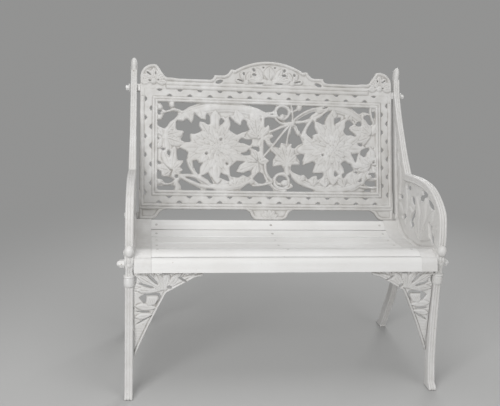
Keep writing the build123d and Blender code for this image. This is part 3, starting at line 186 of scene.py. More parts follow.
# Gaps between the stems, leaves and petals: corners in turn
PANEL_GAPS = [
    [(-418, 457), (-378, 457), (-377, 441), (-368, 431), (-386, 424), (-397, 428), (-398, 441),
     (-406, 450)],
    [(-418, 425), (-401, 424), (-396, 418), (-404, 410), (-418, 409)],
    [(-394, 414), (-383, 417), (-360, 421), (-343, 419), (-344, 408), (-356, 394), (-372, 383),
     (-383, 365), (-392, 358), (-403, 361), (-418, 368), (-418, 388), (-401, 388), (-395, 400)],
    [(-355, 457), (-264, 456), (-300, 442), (-322, 427), (-330, 425), (-343, 428), (-352, 432),
     (-354, 445)],
    [(-348, 383), (-344, 388), (-320, 385), (-311, 396), (-305, 394), (-295, 380), (-288, 381),
     (-283, 398), (-281, 418), (-270, 405), (-257, 395), (-237, 392), (-238, 410), (-233, 417),
     (-225, 410), (-224, 377), (-232, 376), (-246, 385), (-263, 388), (-266, 372), (-255, 353),
     (-266, 346), (-282, 340), (-298, 342), (-298, 325), (-294, 311), (-305, 309), (-320, 310),
     (-332, 317), (-324, 331), (-318, 349), (-330, 352), (-348, 353)],
    [(-181, 402), (-170, 390), (-177, 382), (-188, 372), (-187, 392)],
    [(-150, 411), (-145, 400), (-128, 385), (-107, 373), (-104, 390), (-98, 398), (-86, 392), (-86, 380),
     (-76, 360), (-84, 355), (-102, 350), (-124, 340), (-152, 357), (-146, 372), (-147, 390), (-152, 398)],
    [(-98, 457), (30, 457), (22, 448), (19, 437), (8, 430), (-2, 431), (-14, 426), (-24, 432), (-40, 441),
     (-70, 450)],
    [(-32, 400), (-2, 409), (8, 424), (15, 424), (24, 411), (38, 400), (55, 387), (30, 372), (6, 357),
     (3, 372), (-4, 382), (-16, 369), (-25, 384)],
    [(-114, 318), (-104, 328), (-88, 322), (-64, 325), (-66, 310), (-74, 300), (-96, 309), (-114, 310)],
    [(-68, 291), (-60, 297), (-40, 297), (-38, 282), (-42, 277), (-52, 285)],
    [(-106, 270), (-86, 275), (-78, 285), (-72, 280), (-72, 266), (-86, 264), (-104, 265)],
    [(-27, 306), (-21, 320), (-16, 318), (-12, 308), (2, 294), (0, 286), (-20, 263), (-24, 282)],
    [(-421, 321), (-415, 327), (-409, 322), (-412, 316), (-419, 316)],
    [(-405, 283), (-396, 285), (-388, 282), (-392, 277), (-401, 277)],
    [(-380, 272), (-374, 278), (-369, 270), (-373, 252), (-379, 262)],
    [(-424, 242), (-415, 239), (-402, 231), (-402, 227), (-422, 226)],
    [(-344, 282), (-335, 285), (-320, 280), (-305, 270), (-310, 246), (-307, 236), (-298, 224),
     (-294, 205), (-289, 192), (-298, 188), (-325, 187), (-332, 195), (-321, 204), (-333, 215),
     (-321, 232), (-320, 241), (-342, 241), (-345, 262)],
    [(-286, 238), (-274, 241), (-268, 239), (-266, 229), (-252, 231), (-262, 215), (-262, 193),
     (-267, 189), (-276, 201), (-284, 220)],
    [(-423, 205), (-403, 198), (-402, 180), (-370, 177), (-353, 168), (-359, 158), (-372, 154),
     (-393, 159), (-396, 168), (-410, 172), (-423, 171)],
    [(-352, 183), (-345, 188), (-338, 184), (-341, 177), (-351, 175)],
    [(-423, 148), (-411, 145), (-395, 146), (-357, 148), (-353, 142), (-356, 131), (-423, 131)],
    [(-339, 160), (-332, 172), (-322, 170), (-302, 157), (-282, 147), (-258, 137), (-256, 131),
     (-330, 131), (-328, 143)],
    [(-312, 178), (-296, 180), (-282, 179), (-265, 164), (-248, 151), (-262, 149), (-288, 159)],
    [(-254, 184), (-240, 188), (-229, 196), (-224, 184), (-210, 156), (-220, 154), (-228, 169),
     (-248, 180)],
    [(-187, 178), (-181, 196), (-172, 190), (-158, 186), (-152, 175), (-150, 165), (-160, 167),
     (-172, 173)],
    [(-148, 218), (-122, 240), (-94, 239), (-112, 228), (-119, 214), (-128, 200), (-100, 196), (-72, 207),
     (-69, 192), (-82, 182), (-100, 191), (-117, 180), (-146, 183), (-148, 200)],
    [(-60, 177), (-50, 190), (-36, 201), (-25, 196), (-12, 166), (-24, 158), (-42, 160), (-58, 172)],
    [(-15, 262), (5, 280), (14, 276), (24, 265), (14, 250), (12, 222), (45, 227), (52, 220), (58, 205),
     (40, 200), (22, 190), (6, 171), (-4, 172), (-7, 195), (-9, 232), (-2, 240), (1, 245), (-4, 249),
     (-12, 253)],
    [(-237, 136), (-228, 139), (-204, 133), (-202, 131), (-236, 131)],
    [(-112, 132), (-104, 139), (-84, 154), (-74, 158), (-66, 150), (-58, 145), (-40, 150), (-12, 155),
     (2, 152), (12, 140), (17, 131), (-100, 130)],
    [(28, 436), (34, 446), (46, 452), (60, 452), (70, 444), (74, 433), (72, 421), (62, 419), (52, 424),
     (44, 422), (40, 416), (37, 409), (30, 414), (27, 425)],
    [(56, 397), (66, 402), (77, 413), (83, 424), (86, 423), (89, 410), (90, 398), (84, 395), (62, 394)],
    [(73, 457), (104, 457), (103, 445), (97, 438), (90, 438), (84, 442), (76, 451)],
    [(128, 457), (196, 456), (170, 447), (140, 432), (115, 415), (98, 404), (94, 412), (92, 430),
     (105, 434), (120, 436), (127, 444)],
    [(205, 456), (226, 457), (222, 451), (211, 448), (206, 451)],
    [(105, 399), (118, 408), (140, 422), (165, 434), (182, 438), (180, 433), (165, 424), (154, 410),
     (130, 401)],
    [(180, 398), (195, 408), (208, 418), (216, 430), (230, 438), (239, 440), (236, 433), (227, 424),
     (218, 415), (214, 400), (214, 388), (208, 386), (200, 391), (190, 396)],
    [(8, 349), (66, 377), (62, 371), (40, 345), (20, 318), (13, 309), (6, 316), (4, 328), (18, 334),
     (14, 341)],
    [(76, 373), (70, 365), (45, 334), (24, 306), (20, 300), (26, 297), (40, 295), (42, 310), (45, 315),
     (60, 310), (64, 309), (68, 330), (78, 362)],
    [(86, 372), (95, 373), (98, 362), (100, 350), (106, 342), (118, 340), (122, 330), (129, 315),
     (110, 306), (98, 294), (91, 292), (85, 298), (88, 312), (82, 312), (73, 308), (75, 330), (85, 358)],
    [(100, 387), (115, 388), (135, 391), (141, 388), (142, 380), (134, 368), (130, 354), (124, 347),
     (119, 352), (118, 360), (108, 363), (100, 373)],
    [(168, 402), (174, 392), (174, 375), (180, 362), (186, 353), (170, 347), (164, 342), (168, 336),
     (164, 329), (160, 335), (150, 343), (142, 351), (148, 370), (158, 390)],
    [(253, 409), (262, 414), (278, 417), (279, 408), (268, 398), (257, 392), (254, 386)],
    [(297, 398), (303, 404), (312, 406), (318, 402), (331, 391), (325, 387), (315, 384), (308, 373),
     (318, 362), (338, 347), (334, 343), (318, 350), (304, 347), (298, 350), (288, 363), (295, 378)],
    [(336, 391), (345, 400), (356, 401), (360, 394), (358, 385), (350, 383), (338, 387)],
    [(320, 456), (394, 456), (397, 440), (393, 434), (376, 440), (366, 440), (352, 432), (345, 434),
     (330, 446)],
    [(368, 416), (376, 426), (388, 430), (396, 424), (402, 410), (404, 395), (396, 387), (387, 393),
     (377, 408)],
    [(402, 440), (408, 443), (414, 443), (413, 420), (409, 413), (404, 420)],
    [(344, 316), (352, 318), (360, 318), (363, 312), (358, 306), (350, 308)],
    [(405, 300), (408, 305), (411, 301), (408, 293)],
    [(354, 280), (360, 292), (372, 297), (386, 303), (390, 301), (388, 292), (378, 280), (374, 266),
     (368, 265), (358, 272)],
    [(318, 277), (328, 275), (345, 279), (340, 262), (337, 243), (334, 243), (328, 258)],
    [(403, 246), (408, 252), (410, 244), (406, 241)],
    [(278, 237), (286, 246), (296, 247), (302, 240), (315, 237), (322, 225), (328, 214), (312, 206),
     (302, 202), (296, 196), (290, 185), (284, 182), (282, 197), (292, 202), (288, 220)],
    [(331, 208), (338, 211), (345, 206), (340, 202), (333, 203)],
    [(103, 265), (111, 270), (135, 272), (133, 264), (128, 252), (127, 229), (150, 237), (165, 243),
     (172, 242), (176, 235), (172, 225), (168, 212), (164, 201), (190, 199), (205, 203), (207, 198),
     (206, 188), (196, 180), (186, 174), (184, 182), (186, 190), (176, 192), (164, 188), (156, 182),
     (148, 175), (143, 185), (132, 196), (120, 190), (105, 197), (90, 203), (82, 212), (86, 230),
     (118, 231), (117, 246)],
    [(250, 196), (253, 210), (260, 202), (268, 196), (254, 187)],
    [(345, 172), (352, 178), (357, 182), (358, 172), (350, 168)],
    [(384, 200), (398, 204), (413, 204), (413, 188), (404, 180), (402, 190), (394, 197)],
    [(372, 165), (374, 175), (380, 175), (395, 172), (413, 173), (413, 153), (390, 151), (373, 158)],
    [(364, 133), (372, 140), (384, 145), (393, 144), (396, 136), (390, 132)],
    [(28, 180), (34, 190), (46, 193), (60, 188), (69, 178), (66, 173), (54, 174), (46, 168), (40, 161),
     (32, 164), (27, 172)],
    [(4, 161), (14, 169), (18, 165), (26, 156), (40, 153), (58, 148), (56, 143), (40, 138), (24, 142),
     (12, 152)],
    [(73, 190), (76, 198), (80, 194), (84, 182), (95, 170), (110, 158), (135, 147), (155, 141), (172, 134),
     (165, 130), (60, 130), (68, 138), (76, 142), (90, 143), (91, 152), (84, 160), (79, 163), (78, 175)]]
# Pin holes in the flowers
PIN_HOLES = [(-183, 320), (-237, 267), (-160, 230), (205, 270)]
PIN_HOLE_R = 3.5
# Berries: x, height, radius
BERRIES = [(-410, 437, 12), (-364, 448, 12), (-408, 398, 12), (-410, 163, 13), (47, 411, 12), (58, 164, 14),
           (85, 150, 9), (110, 350, 12), (116, 448, 13), (386, 193, 14), (85, 390, 15)]

# Gaps in the crest: x, height over the rail, length, width, turn; each is mirrored
CREST_GAPS = [(97, 27, 13, 8, 90), (59, 43, 14, 10, 60), (57, 24, 17, 9, 5), (22, 53, 9, 7, 30),
              (37, -8, 34, 5, 0), (110, 1, 30, 5, 14), (190, -7, 30, 12, -18)]

# Leaf brackets: distance in from the end casting, and height over SEAT_Z
BRACKET_TIP = (213, -19)
BRACKET_LIP = (189, -24)
BRACKET_KNEE = (101, -74)
BRACKET_WAIST = (52, -176)
BRACKET_TAIL = (3, -293)
BRACKET_TOP = 200.0
# Gaps: in from the end casting, height over SEAT_Z, length, width, turn
BRACKET_GAPS = [(57, -30, 46, 7, 44), (36, -50, 50, 7, 16), (110, -56, 14, 9, 25), (99, -8, 40, 7, 0),
                (29, -138, 48, 4, 3), (31, -166, 58, 4, -32), (150, -30, 30, 5, 30)]
# Eye, and the bud that stands in it and meets the plate below
BRACKET_EYE = [(15, -91), (34, -78), (79, -76), (84, -89), (69, -111), (29, -108)]
BRACKET_BUD = [(38, -83), (75, -83), (78, -92), (66, -114), (44, -117), (36, -107)]

# Fields: arrays that are negative inside a shape, in millimetres


def polygon_field(u, v, corners):
    """Signed distance to a closed outline."""
    points = np.array(corners, float)
    inside = np.zeros(u.shape, bool)
    best = np.full(u.shape, 1e9)
    for (ax, ay), (bx, by) in zip(points, np.roll(points, -1, axis=0)):
        dx, dy = bx - ax, by - ay
        share = np.clip(((u - ax) * dx + (v - ay) * dy) / max(dx * dx + dy * dy, 1e-9), 0, 1)
        best = np.minimum(best, np.hypot(u - ax - share * dx, v - ay - share * dy))
        crosses = (ay > v) != (by > v)
        if dy:
            inside ^= crosses & (u < (v - ay) / dy * dx + ax)
    return np.where(inside, -best, best)


def near(u, v, points, margin):
    """Slice of the grid around some points."""
    points = np.array(points, float)
    low, high = points.min(0) - margin, points.max(0) + margin
    columns = np.searchsorted(u[:, 0], [low[0], high[0]])
    rows = np.searchsorted(v[0], [low[1], high[1]])
    return slice(*columns), slice(*rows)


def cut(field, u, v, corners, margin=14.0):
    """Take an outline out of a field."""
    part = near(u, v, corners, margin)
    field[part] = np.maximum(field[part], -polygon_field(u[part], v[part], corners))


def oval(x, y, length, width, turn, steps=20):
    """Corners of an ellipse."""
    angle = np.linspace(0, 2 * pi, steps, endpoint=False)
    along, across = np.cos(angle) * length / 2, np.sin(angle) * width / 2
    c, s = cos(radians(turn)), sin(radians(turn))
    return np.stack([x + along * c - across * s, y + along * s + across * c], axis=1)


def rail_field(u, v, line, depths):
    """Distance to a thick line whose depth changes along it."""
    best = np.full(u.shape, 1e9)
    for (ax, ay), (bx, by), start, end in zip(line[:-1], line[1:], depths[:-1], depths[1:]):
        dx, dy = bx - ax, by - ay
        share = np.clip(((u - ax) * dx + (v - ay) * dy) / (dx * dx + dy * dy), 0, 1)
        reach = np.hypot(u - ax - share * dx, v - ay - share * dy)
        best = np.minimum(best, reach - (start + (end - start) * share) / 2)
    return best


def blur(values, times):
    """Soften an array by its neighbours."""
    for _ in range(times):
        wide = np.pad(values, 1, mode="edge")
        values = (wide[:-2, 1:-1] + wide[2:, 1:-1] + wide[1:-1, :-2] + wide[1:-1, 2:] + 4 * values) / 8
    return values


def rounded(depth, radius):
    """Quarter round: 0 at an edge, 1 from the radius inwards."""
    share = np.clip(depth / radius, 0, 1)
    return np.sqrt(1 - (1 - share) ** 2)


def ridge(offset, half):
    """Half-round ridge: 1 on its line, 0 from half its width out."""
    return np.sqrt(np.clip(1 - (offset / half) ** 2, 0, 1))


def groove(offset, width, depth):
    """Soft line: its depth on it and 0 away from it."""
    return depth * np.exp(-((offset / width) ** 2))


# Curves


def smooth_line(points, steps=10):
    """Points along a natural cubic spline through the given ones."""
    points = np.array(points, float)
    knots = np.concatenate([[0], np.cumsum(np.hypot(*np.diff(points, axis=0).T))])
    gaps = np.diff(knots)
    count = len(points)
    system = np.eye(count)
    right = np.zeros((count, 2))
    for i in range(1, count - 1):
        system[i, i - 1:i + 2] = gaps[i - 1], 2 * (gaps[i - 1] + gaps[i]), gaps[i]
        right[i] = 6 * ((points[i + 1] - points[i]) / gaps[i] - (points[i] - points[i - 1]) / gaps[i - 1])
    bend = np.linalg.solve(system, right)
    line = []
    for i, gap in enumerate(gaps):
        share = np.linspace(0, 1, steps, endpoint=i == count - 2)[:, None]
        cubic = ((1 - share) ** 3 - (1 - share)) * bend[i] + (share ** 3 - share) * bend[i + 1]
        line.append((1 - share) * points[i] + share * points[i + 1] + cubic * gap ** 2 / 6)
    line = np.concatenate(line)
    return line, np.arange(len(line)) / steps


def spread(values, shares):
    """Values listed at the given points, read at shares between them."""
    return np.interp(shares, np.arange(len(values)), values)


def tangent_arc(start, end, tangent, steps=12):
    """Arc that leaves the start along a direction and ends at a point."""
    start, end, tangent = (np.array(item, float) for item in (start, end, tangent))
    tangent /= np.hypot(*tangent)
    normal = np.array([-tangent[1], tangent[0]])
    chord = end - start
    rise = chord @ normal
    if abs(rise) < 1e-6:
        return [start, end], tangent
    radius = chord @ chord / (2 * rise)
    centre = start + normal * radius
    sweep = 2 * np.arctan2(rise, chord @ tangent)
    angles = np.linspace(0, sweep, steps + 1)
    c, s = np.cos(angles), np.sin(angles)
    arm = start - centre
    points = centre + np.stack([arm[0] * c - arm[1] * s, arm[0] * s + arm[1] * c], axis=1)
    last = np.array([tangent[0] * c[-1] - tangent[1] * s[-1], tangent[0] * s[-1] + tangent[1] * c[-1]])
    return list(points), last


def ogee(start, end):
    """Two arcs that leave the start level and reach the end level."""
    middle = (np.array(start, float) + np.array(end, float)) / 2
    first, tangent = tangent_arc(start, middle, (1, 0))
    return first + tangent_arc(middle, end, tangent)[0][1:]


def three_point_arc(start, middle, end, steps=16):
    """Arc through three points."""
    a, b, c = (complex(*point) for point in (start, middle, end))
    w = (c - a) / (b - a)
    centre = a + (b - a) * (w - abs(w) ** 2) / (2j * w.imag)
    first, way, last = (np.angle(point - centre) for point in (a, b, c))
    turn = (last - first) % (2 * pi)
    if (way - first) % (2 * pi) > turn:
        turn -= 2 * pi
    angles = first + np.linspace(0, turn, steps + 1)
    reach = abs(a - centre)
    return [(centre.real + reach * cos(t), centre.imag + reach * sin(t)) for t in angles]


# Meshes

SHARP_ANGLE = 60.0


def make_object(name, vertices, faces, material, recess=None):
    """New object in the row frame, from millimetres."""
    mesh = bpy.data.meshes.new(name)
    mesh.from_pydata((np.asarray(vertices) * MM).tolist(), [], faces)
    if recess is not None:
        # Shares of soil and painted shade in the hollows, for the paint
        soil_and_shade = mesh.attributes.new("recess", "FLOAT", "POINT")
        soil_and_shade.data.foreach_set("value", np.asarray(recess, np.float32))
    mesh.validate()
    mesh.shade_smooth()
    mesh.set_sharp_from_angle(angle=radians(SHARP_ANGLE))
    piece = bpy.data.objects.new(name, mesh)
    bpy.context.scene.collection.objects.link(piece)
    mesh.materials.append(material)
    return piece


def join_pieces(pieces):
    """One object from several."""
    bpy.ops.object.select_all(action="DESELECT")
    for piece in pieces:
        piece.select_set(True)
    bpy.context.view_layer.objects.active = pieces[0]
    bpy.ops.object.join()
    return pieces[0]


# Share of a grid step that a point may move to reach an edge, and the least slope that counts there
SNAP_SHARE, LEAST_SLOPE = 0.7, 0.2
RIM_SOFTENING = 5
# Soil with painted shade: blur steps and depth that make a full hollow, and the share on walls
HOLLOW_BLUR, HOLLOW_DEPTH, WALL_SOIL_AND_SHADE = 12, 2.5, 0.25
# Corners of a grid cell, in turn
CELL = [(slice(None, -1), slice(None, -1)), (slice(1, None), slice(None, -1)),
        (slice(1, None), slice(1, None)), (slice(None, -1), slice(1, None))]


def at_edge(field):
    """Grid points that move onto the edge of a field."""
    edge = np.zeros(field.shape, bool)
    for axis in (0, 1):
        for way in (1, -1):
            other = np.roll(field, way, axis)
            edge |= (field * other < 0) & (np.abs(field) <= np.abs(other))
    return edge


def edge_depth(field):
    """Distance in from the edge of a field; 0 for the points that move onto it."""
    return np.where(at_edge(field), 0, np.maximum(-field, 0))


def snapped(u, v, field):
    """Grid places, with those next to the edge of a field moved onto it."""
    step = u[1, 0] - u[0, 0]
    slope_u, slope_v = np.gradient(field, step)
    steep = np.maximum(np.hypot(slope_u, slope_v), LEAST_SLOPE)
    shift = np.clip(field / steep, -SNAP_SHARE * step, SNAP_SHARE * step)
    edge = at_edge(field)
    return np.where(edge, u - shift * slope_u / steep, u), np.where(edge, v - shift * slope_v / steep, v)


def plate_cells(field):
    """Grid points in use, and the four- and three-cornered faces on them."""
    edge = at_edge(field)
    solid = (field < 0) | edge
    held = np.stack([solid[corner] for corner in CELL])
    moved = np.stack([edge[corner] for corner in CELL])
    level = np.mean([field[corner] for corner in CELL], axis=0)
    full = held.all(0) & (~moved.all(0) | (level < 0))
    three = (held.sum(0) == 3) & ((held & ~moved).any(0) | (level < 0))
    used = np.zeros(field.shape, bool)
    for index, corner in enumerate(CELL):
        used[corner] |= full | (three & held[index])
    number = np.full(field.shape, -1)
    number[used] = np.arange(used.sum())
    quads = np.stack([number[corner][full] for corner in CELL], axis=1)
    triangles = []
    for index in range(4):
        gone = three & ~held[index]
        rest = [CELL[(index + turn) % 4] for turn in (1, 2, 3)]
        triangles.append(np.stack([number[corner][gone] for corner in rest], axis=1))
    return used, quads, np.concatenate(triangles)


def rim_edges(quads, triangles):
    """Edges that only one face has, in that face's direction."""
    edges = np.concatenate([np.stack([face[:, k], face[:, (k + 1) % face.shape[1]]], axis=1)
                            for face in (quads, triangles) for k in range(face.shape[1])])
    low, high = np.sort(edges, axis=1).T
    _, first, times = np.unique(low * (high.max() + 1) + high, return_index=True, return_counts=True)
    return edges[first[times == 1]]


def soften_rim(places, rim, rim_points):
    """Places with those of the rim drawn towards their neighbours."""
    meetings = np.bincount(rim.ravel(), minlength=len(places))[rim_points, None]
    for _ in range(RIM_SOFTENING):
        total = np.zeros_like(places)
        np.add.at(total, rim[:, 0], places[rim[:, 1]])
        np.add.at(total, rim[:, 1], places[rim[:, 0]])
        places[rim_points] = (places[rim_points] + total[rim_points] / meetings) / 2
    return places


def rim_outward(places, rim, rim_points):
    """Directions that point out of a plate at its rim."""
    tangent = np.zeros_like(places)
    run = places[rim[:, 1]] - places[rim[:, 0]]
    np.add.at(tangent, rim[:, 0], run)
    np.add.at(tangent, rim[:, 1], run)
    tangent = tangent[rim_points]
    tangent = tangent / np.maximum(np.hypot(*tangent.T), 1e-6)[:, None]
    return np.stack([tangent[:, 1], -tangent[:, 0]], axis=1)


def relief(u, v, field, front, back, to_row, rows, inset, flip, soil_and_shade, grime):
    """Closed plate from a field and the heights of its two faces: vertices, faces and shares of soil with
    painted shade in the hollows and on the walls.
    """
    used, quads, triangles = plate_cells(field)
    count = int(used.sum())
    rim = rim_edges(quads, triangles)
    rim_points = np.unique(rim)
    places = np.stack([side[used] for side in snapped(u, v, field)], axis=1)
    places = soften_rim(places, rim, rim_points)
    outward = rim_outward(places, rim, rim_points)
    high, low = front[used], back[used]
    layers = [to_row(*places.T, high), to_row(*places.T, low)]
    for row in range(1, rows):
        share = row / rows
        draw = inset(share, (high - low)[rim_points])
        level = high[rim_points] + (low - high)[rim_points] * share
        edge = places[rim_points] - outward * draw[:, None]
        layers.append(to_row(*edge.T, level))
    rank = np.full(count, -1)
    rank[rim_points] = np.arange(len(rim_points))
    starts = [2 * count + row * len(rim_points) for row in range(rows - 1)]
    ladder = [rim] + [rank[rim] + start for start in starts] + [rim + count]
    walls = [np.concatenate([lower, upper[:, ::-1]], axis=1) for upper, lower in zip(ladder[:-1], ladder[1:])]
    groups = [quads, triangles, quads[:, ::-1] + count, triangles[:, ::-1] + count] + walls
    faces = [face[::-1] if flip else face for group in groups for face in group.tolist()]
    # Painted shade with soil: a share where a face lies below its blurred surroundings, and a set share on
    # the walls
    hollows = [np.clip((blur(face, HOLLOW_BLUR) - face) / HOLLOW_DEPTH, 0, 1)[used]
               for face in (front, -back)]
    shares = np.concatenate(hollows + [np.full(len(rim_points), WALL_SOIL_AND_SHADE)] * (rows - 1))
    return np.concatenate(layers), faces, np.clip(grime + soil_and_shade * shares, 0, 1)


def straight(share, thickness):
    """Plain wall."""
    return np.zeros_like(thickness)


# Grid steps around a shape, and the steps of a block's bevels
ROOM = 4
BEVEL_STEPS = 3


def grid(low_u, high_u, low_v, high_v, step):
    """Grid of places that covers a rectangle with some room."""
    along = np.arange(low_u - ROOM * step, high_u + (ROOM + 1) * step, step)
    across = np.arange(low_v - ROOM * step, high_v + (ROOM + 1) * step, step)
    return np.meshgrid(along, across, indexing="ij")


def rounded_block(name, low, high, bevel, to_row, material):
    """Block with bevelled edges between two corners of a plate's own frame."""
    mesh = bmesh.new()
    bmesh.ops.create_cube(mesh, size=1.0)
    low, high = np.array(low, float), np.array(high, float)
    for vertex in mesh.verts:
        vertex.co = Vector((np.array(vertex.co) + 0.5) * (high - low) + low)
    bmesh.ops.bevel(mesh, geom=mesh.edges[:], offset=bevel, segments=BEVEL_STEPS, profile=0.5, affect="EDGES")
    places = np.array([vertex.co for vertex in mesh.verts])
    mesh.verts.index_update()
    faces = [[vertex.index for vertex in face.verts] for face in mesh.faces]
    mesh.free()
    return make_object(name, to_row(*places.T), faces, material)


def turned(name, rings, middle, material, segments, lobes=0, lobe_depth=0.0):
    """Upright form from rings of half width, half depth, shift to the front and height; lobes flute it."""
    turn = np.linspace(0, 2 * pi, segments, endpoint=False) + pi / segments
    flute = 1 - lobe_depth * (1 - np.abs(np.cos(turn * lobes / 2)))
    layers = []
    for wide, deep, shift, z in rings:
        ring = [wide * flute * np.cos(turn), deep * flute * np.sin(turn) - shift, np.full(segments, z)]
        layers.append(np.stack(ring, axis=1))
    vertices = np.concatenate(layers) + np.array(middle)
    faces = []
    for low in range(0, (len(rings) - 1) * segments, segments):
        high = low + segments
        for k in range(segments):
            n = (k + 1) % segments
            faces.append([low + k, low + n, high + n, high + k])
    faces.append(list(range(segments))[::-1])
    faces.append([(len(rings) - 1) * segments + k for k in range(segments)])
    return make_object(name, vertices, faces, material)


# Materials

# Fresh and yellowed paint on the iron and on the wood; the iron's is darker, partly painted shade on the
# upright castings and partly soiled paint
IRON_PAINT = ((0.690, 0.685, 0.678, 1), (0.610, 0.600, 0.582, 1))
WOOD_PAINT = ((0.765, 0.762, 0.755, 1), (0.695, 0.687, 0.672, 1))
# Dark tone of the soil and of the painted shade in the hollows
SOIL_AND_SHADE_TONE = (0.240, 0.222, 0.195, 1)
CHIP = (0.300, 0.225, 0.160, 1)
# Marks on the paint: scale and detail of the noise, limits between which they show, strength
PATCHES = (7.0, 4.0, 0.35, 0.75, 1.0)
STREAKS = (60.0, 6.0, 0.40, 0.75, 0.8)
SOIL_AND_SHADE_MARKS = (26.0, 5.0, 0.2, 0.7, 1.0)
DULLING = (60.0, 4.0, 0.2, 0.8, 0.22)
# Chips have a lower limit of their own in each paint
CHIP_NOISE, CHIP_FADE, CHIP_STRENGTH = (120.0, 3.0), 0.05, 0.75
FINE_NOISE = (190.0, 4.0)
GRAIN_DETAIL = 6.0
# Most that the soil and the painted shade darken the paint
SOIL_AND_SHADE_STRENGTH = 0.8
ROUGHNESS, SPECULAR = 0.36, 0.42
BUMP_STRENGTH, BUMP_DISTANCE = 0.35, 0.0011


class NodeKit:
    """Nodes of a material or world, and functions that add to them."""

    def __init__(self, owner):
        self.owner = owner
        owner.use_nodes = True
        self.tree = owner.node_tree

    def put(self, kind, **values):
        """New node with the given settings."""
        node = self.tree.nodes.new(kind)
        for key, value in values.items():
            setattr(node, key, value)
        return node

    def feed(self, socket, value):
        """Link a socket to an output, or set it to a number or colour."""
        if isinstance(value, bpy.types.NodeSocket):
            self.tree.links.new(value, socket)
        else:
            socket.default_value = value

    def noise(self, where, scale, detail):
        """Noise over the row frame."""
        node = self.put("ShaderNodeTexNoise")
        for key, value in (("Vector", where), ("Scale", scale), ("Detail", detail)):
            self.feed(node.inputs[key], value)
        return node.outputs["Fac"]

    def ramp(self, value, low, high, top=1.0, **values):
        """Value spread from 0 to a top between two limits."""
        node = self.put("ShaderNodeMapRange", **values)
        for key, item in (("Value", value), ("From Min", low), ("From Max", high), ("To Max", top)):
            self.feed(node.inputs[key], item)
        return node.outputs["Result"]

    def marks(self, where, scale, detail, low, high, strength):
        """Marks where the noise passes between two limits."""
        return self.ramp(self.noise(where, scale, detail), low, high, strength)

    def mix(self, share, first, second):
        """Colour between two."""
        node = self.put("ShaderNodeMix", data_type="RGBA")
        for key, value in (("Factor", share), ("A", first), ("B", second)):
            self.feed(node.inputs[key], value)
        return node.outputs["Result"]

    def combine(self, operation, first, second):
        """Sum, product or greater of two values."""
        node = self.put("ShaderNodeMath", operation=operation)
        self.feed(node.inputs[0], first)
        self.feed(node.inputs[1], second)
        return node.outputs[0]

    def blend(self, share, first, second):
        """Shader between two."""
        node = self.put("ShaderNodeMixShader")
        for socket, value in zip(node.inputs, (share, first, second)):
            self.feed(socket, value)
        return node.outputs[0]


def paint(name, colours, stretch, chips, grain, soil_and_shade=None):
    """Old gloss paint: yellowed patches; soil, with painted shade, in the hollows, and soil spread evenly
    where a share is given; chips; brush marks.
    """
    kit = NodeKit(bpy.data.materials.new(name))
    shader = kit.tree.nodes["Principled BSDF"]
    place = kit.put("ShaderNodeTexCoord").outputs["Object"]
    mapping = kit.put("ShaderNodeMapping")
    kit.feed(mapping.inputs["Vector"], place)
    kit.feed(mapping.inputs["Scale"], stretch)
    along = mapping.outputs["Vector"]
    fresh, yellowed = colours
    colour = kit.mix(kit.marks(place, *PATCHES), fresh, yellowed)
    colour = kit.mix(kit.marks(along, *STREAKS), colour, yellowed)
    if soil_and_shade is None:
        soil_and_shade = kit.put("ShaderNodeAttribute", attribute_name="recess").outputs["Fac"]
    # Soil and painted shade: the recess shares, broken up by noise, draw the colour towards the dark tone
    soil_and_shade_share = kit.combine("MULTIPLY", kit.marks(place, *SOIL_AND_SHADE_MARKS), soil_and_shade)
    colour = kit.mix(kit.combine("MULTIPLY", soil_and_shade_share, SOIL_AND_SHADE_STRENGTH), colour, SOIL_AND_SHADE_TONE)
    specks = kit.marks(place, *CHIP_NOISE, chips, chips + CHIP_FADE, CHIP_STRENGTH)
    colour = kit.mix(specks, colour, CHIP)
    kit.feed(shader.inputs["Base Color"], colour)
    rough = kit.combine("ADD", kit.marks(place, *DULLING), ROUGHNESS)
    kit.feed(shader.inputs["Roughness"], rough)
    kit.feed(shader.inputs["Specular IOR Level"], SPECULAR)
    bump = kit.put("ShaderNodeBump")
    kit.feed(bump.inputs["Strength"], BUMP_STRENGTH)
    kit.feed(bump.inputs["Distance"], BUMP_DISTANCE)
    strokes = kit.combine("ADD", kit.noise(along, grain, GRAIN_DETAIL), kit.noise(place, *FINE_NOISE))
    kit.feed(bump.inputs["Height"], strokes)
    kit.feed(shader.inputs["Normal"], bump.outputs["Normal"])
    return kit.owner


iron = paint("painted_iron", IRON_PAINT, stretch=(1, 1, 1), chips=0.735, grain=75.0)
wood = paint("painted_wood", WOOD_PAINT, stretch=(0.06, 1, 1), chips=0.735, grain=150.0)
fastener = paint("painted_fastener", WOOD_PAINT, stretch=(1, 1, 1), chips=0.66, grain=240.0)
screw = paint("painted_screw", WOOD_PAINT, stretch=(1, 1, 1), chips=0.66, grain=240.0, soil_and_shade=0.9)


# Castings

PLATE_ROWS, END_ROWS = 3, 16
FIELD_BLUR = 4
# Rounding of the rear edges
REAR_ROUND = 3.0
# Leaf: exponents of its outline, slant of the side veins, and their distance from the midrib
LEAF_BELLY, LEAF_FULLNESS = 1.2, 0.8
VEIN_SLANT, VEIN_CLEAR = 0.9, 2.0
# Grooves: width, depth
MIDRIB, VEIN = (1.6, 1.6), (1.4, 0.8)
BAND_REED, BUTTON_RING, BORDER_LINE = (1.8, 1.1), (1.6, 1.2), (0.9, 0.8)
RAIL_LINE = (1.6, 1.5)
FAN_LINE, RIB_LINE, BUD_LINE, RIM_LINE = (0.9, 2.0), (1.1, 1.0), (1.2, 1.1), (1.4, 2.0)
# Leaves: level, crown, pitch of the side veins
PANEL_LEAF, SPRAY_LEAF = (8.5, 4.2, 11.0), (PLATE + 0.6, 3.4, 9.0)
WEB_LEAF, BRACKET_LEAF = (4.0, 4.2, 8.0), (BRACKET_THICKNESS - 2.0, 5.0, 5.5)


